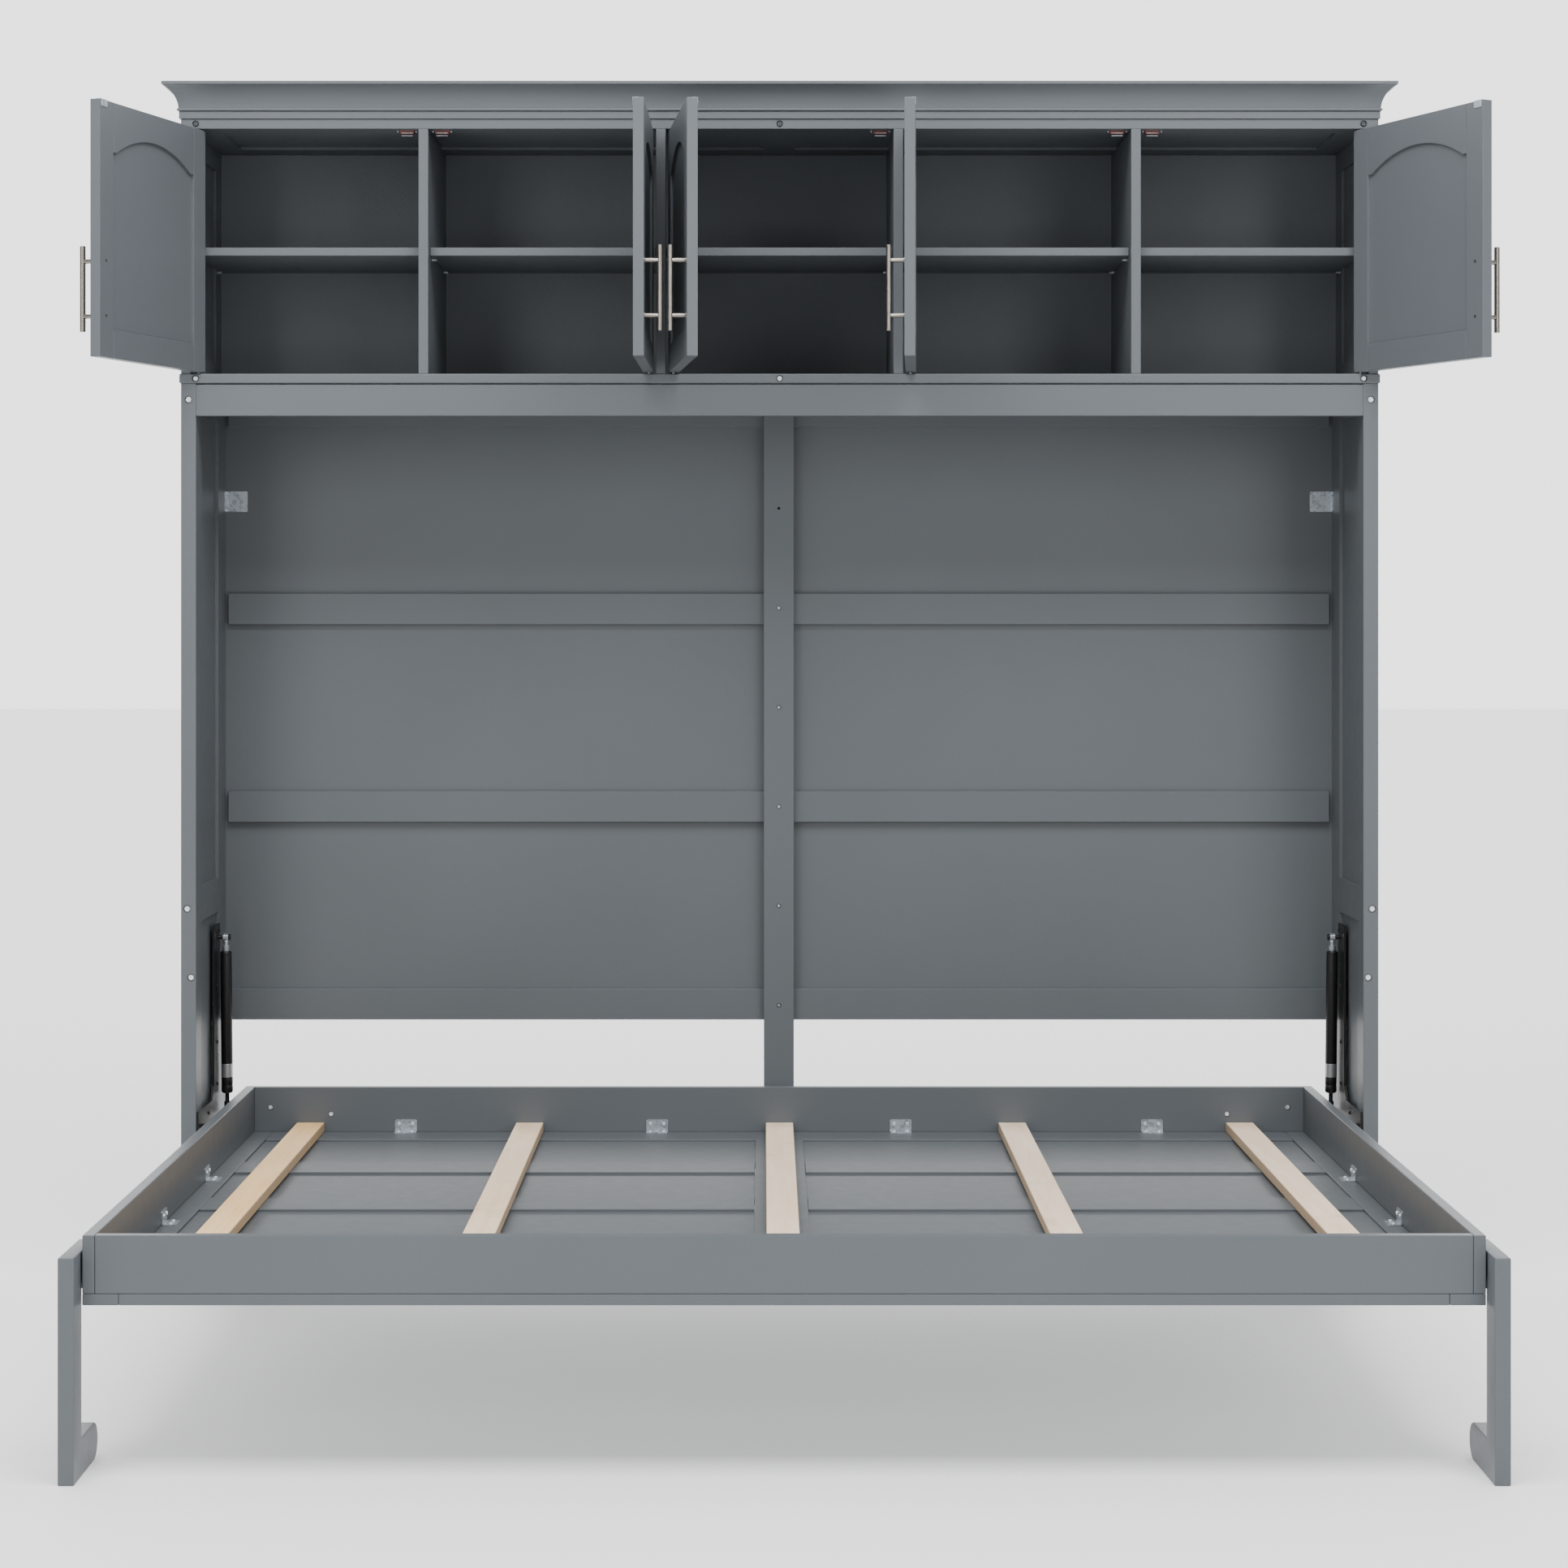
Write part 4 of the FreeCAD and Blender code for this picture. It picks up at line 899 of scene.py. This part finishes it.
foot_at = angles.add("ShaderNodeCombineXYZ", None, {"Y": leg_size * -0.5})
foot = angles.add("GeometryNodeTransform", None, {"Geometry": plate, "Translation": foot_at})
stand_at = angles.add("ShaderNodeCombineXYZ", None, {"Z": leg_size * 0.5})
stand = angles.add("GeometryNodeTransform", None, {"Geometry": plate, "Translation": stand_at,
                                                   "Rotation": (math.pi / 2, 0.0, 0.0)})
angle_pair = angles.add("GeometryNodeJoinGeometry", None, {0: [foot, stand]})
spin = angles.add("GeometryNodeInputNamedAttribute", {"data_type": "FLOAT_VECTOR"}, {"Name": "spin"})
placed = angles.add("GeometryNodeInstanceOnPoints", None,
                    {"Points": given["Geometry"], "Instance": angle_pair, "Rotation": spin})
close_net(angles, placed, given["Material"])

ANGLE_X = (-720.0, -235.0, 235.0, 720.0)
ANGLE_Y = (-280.0, -706.0)
spots = [(x, BED_REAR - BOARD, 0.0) for x in ANGLE_X]
spots += [(x, BED_FRONT + BOARD, math.pi) for x in ANGLE_X]
for y in ANGLE_Y:
    spots += [(-rail_in, y, math.pi / 2), (rail_in, y, -math.pi / 2)]
angle_mesh = points_mesh("rail_angles", [at(x, y, FACE_Z[1]) for x, y, _ in spots],
                         [("spin", "FLOAT_VECTOR", [(0.0, 0.0, spin_z) for _, _, spin_z in spots])])
rail_angles = grown("rail_angles", angle_mesh, angles.tree, {
    "Width": ANGLE_W * MM, "Leg": ANGLE_LEG * MM, "Thickness": ANGLE_T * MM, "Corner": 3.5 * MM,
    "Material": zinc})
fitted(rail_angles, "bed", "zinc", "bed_brackets")
angle_screws = []
for x, y, spin_z in spots:
    spun = Matrix.Rotation(spin_z, 3, "Z")
    for local, outward in (((-13.0, -ANGLE_T, 15.5), FRONT), ((13.0, -ANGLE_T, 15.5), FRONT),
                           ((-13.0, -13.5, ANGLE_T), UP), ((13.0, -13.5, ANGLE_T), UP)):
        shift = spun @ Vector(local)
        angle_screws.append((x + shift.x, y + shift.y, FACE_Z[1] + shift.z, tuple(spun @ Vector(outward))))
screws("rail_angle_screws", angle_screws, (3.4, 1.7, 3.7, 1.8), True, bright_zinc, "bed", "zinc")
REAR_BOLTS = ((982.0, 318.0), (865.0, 305.0))
rear_bolts = [(side * x, BED_REAR - BOARD + 2.4, z, FRONT) for side in (-1, 1) for x, z in REAR_BOLTS]
screws("rear_rail_bolts", rear_bolts, (4.2, 1.9, 4.7, 2.1), False, bright_zinc, "bed", "zinc", "bed_bolts")

# ---- pivots and gas springs ---------------------------------------------------------------------
# Black steel plates carry the bed's pivot pins; a gas spring each side, painted cylinder and ground rod, takes
# the bed's weight. Rolled crimps close the cylinder, and a blank foil band sits above its lower collar.
black = Finish("black_steel", Metallic=0.35, Roughness=0.42)
black.to("Base Color", black.mix(black.noise(120.0, 3.0), srgb(20, 20, 21), srgb(34, 34, 36)))
black.to("Roughness", black.ramp(black.noise(260.0, 2.0), 0.3, 0.7, 0.34, 0.5))
black.bump(black.noise(1100.0, 2.0), 0.00006, 0.5)
black = black.material
ground = Finish("ground_rod", Metallic=1.0, Roughness=0.16)
ground.to("Base Color", ground.mix(ground.noise(60.0, 2.0), srgb(70, 72, 76), srgb(96, 98, 102)))
ground.bump(ground.noise(200.0, 2.0, ground.stretched((1.0, 1.0, 12.0))), 0.00002, 0.3)
ground = ground.material
foil = Finish("foil_band", Metallic=0.7, Roughness=0.35)
foil.to("Base Color", foil.mix(foil.noise(700.0, 1.0), srgb(150, 153, 157), srgb(178, 181, 185)))
foil.bump(foil.noise(300.0, 2.0), 0.00005, 0.4)
foil = foil.material
finish_cad(black, "mechanism_plate_left", "mechanism_plate_right", "bed_pivot_left", "bed_pivot_right")
finish_cad(ground, "spring_rod_left", "spring_rod_right")
PLATE_FACE = 1075.5
SPRING_X = 1061.0
SPRING_TOP = (228.0, 651.0)
SPRING_LOW = (248.0, 320.0)
plate_places = ((205.0, 664.0), (237.0, 664.0), (216.0, 560.0), (216.0, 452.0), (216.0, 372.0), (120.0, 330.0),
                (100.0, 276.0), (225.0, 276.0))
for side, hand in ((-1, "left"), (1, "right")):
    plate_screws = [(side * PLATE_FACE, y, z, (-side, 0.0, 0.0)) for y, z in plate_places]
    screws("plate_screws_" + hand, plate_screws, (3.6, 1.4, 4.0, 1.9), True, black, "cabinet", "black_steel")
    top = at(side * SPRING_X, *SPRING_TOP)
    along = (at(side * SPRING_X, *SPRING_LOW) - top).normalized()
    bm = bmesh.new()
    turned(bm, top, along, [(27.0, 8.6), (27.6, 9.8), (29.0, 10.8), (31.0, 11.0), (33.0, 10.5), (35.0, 11.0),
                            (270.0, 11.0), (271.0, 10.6), (272.0, 11.0), (284.0, 11.0), (285.5, 10.3),
                            (287.0, 11.0), (298.0, 11.0), (300.2, 9.8), (301.0, 8.2), (301.0, 4.2)])
    fitted(smoothed(drawn("spring_tube_" + hand, bm, black), 40.0), "spring_cylinder_" + hand, "black_steel",
           "spring_cylinder_" + hand)
    bm = bmesh.new()
    turned(bm, top, along, [(244.0, 11.02), (244.2, 11.18), (269.8, 11.18), (270.0, 11.02)])
    fitted(smoothed(drawn("spring_band_" + hand, bm, foil)), "spring_cylinder_" + hand, "zinc")
    bm = bmesh.new()
    turned(bm, top, along, [(4.0, 4.6), (8.0, 5.6), (9.0, 5.6), (10.0, 4.2), (15.5, 4.2), (16.0, 6.4),
                            (26.0, 6.4), (27.2, 5.8)])
    eye_line = [(0.0, 6.2), (0.8, 7.0), (9.2, 7.0), (10.0, 6.2)]
    turned(bm, top - Vector((5.0 * MM, 0.0, 0.0)), (1.0, 0.0, 0.0), eye_line)
    fitted(smoothed(drawn("spring_eye_" + hand, bm, zinc)), "spring_cylinder_" + hand, "zinc")

# ---- legs ---------------------------------------------------------------------------------------
# Flat C-shaped legs that fold out on one bolt each at the bed's front corners: sawn from thick board, with the
# edges well rounded over and lacquered. The bolt's washer keeps the leg clear of the rail.
LEG_X = (1034.0, 1058.0)
LEG_FRONT = -1319.0
LEG_POST = 57.0
LEG_H = 332.0
LEG_PIVOT = (-1170.5, LEG_H - LEG_POST / 2)
for side, hand in ((-1, "left"), (1, "right")):
    tip = LEG_PIVOT[0] + LEG_POST / 2
    foot = arc_through((LEG_PIVOT[0], 0.0), (tip, LEG_POST / 2), (LEG_PIVOT[0], LEG_POST), 20)
    arm = arc_through((LEG_PIVOT[0], LEG_H - LEG_POST), (tip, LEG_PIVOT[1]), (LEG_PIVOT[0], LEG_H), 20)
    throat = [(LEG_FRONT + LEG_POST, LEG_POST), (LEG_FRONT + LEG_POST, LEG_H - LEG_POST)]
    outline = [(LEG_FRONT, 0.0)] + foot + throat + arm + [(LEG_FRONT, LEG_H)]
    bm = bmesh.new()
    slab(bm, [at(side * LEG_X[0], y, z) for y, z in outline],
         Vector((side * (LEG_X[1] - LEG_X[0]) * MM, 0.0, 0.0)), 2.2, segments=3)
    fitted(smoothed(drawn("leg_board_" + hand, bm, painted), 25.0), "leg_" + hand, "paint", "leg_" + hand)
    bm = bmesh.new()
    pivot = at(side * BED_HALF, *LEG_PIVOT)
    turned(bm, pivot, (side, 0.0, 0.0), [(0.0, 10.4), (0.4, 11.0), (2.1, 11.0), (2.5, 10.4)])
    turned(bm, pivot, (side, 0.0, 0.0), [(2.0, 4.9), (27.6, 4.9), (27.7, 10.4), (28.2, 10.6), (28.8, 10.2)])
    fitted(smoothed(drawn("leg_bolt_" + hand, bm, zinc)), "bed", "zinc", "leg_pivot_bolts")
leg_heads = [(side * (LEG_X[1] + 1.6), *LEG_PIVOT, (side, 0.0, 0.0)) for side in (-1, 1)]
screws("leg_bolt_heads", leg_heads, (7.2, 3.0, 7.6, 3.2), False, zinc, "bed", "zinc")
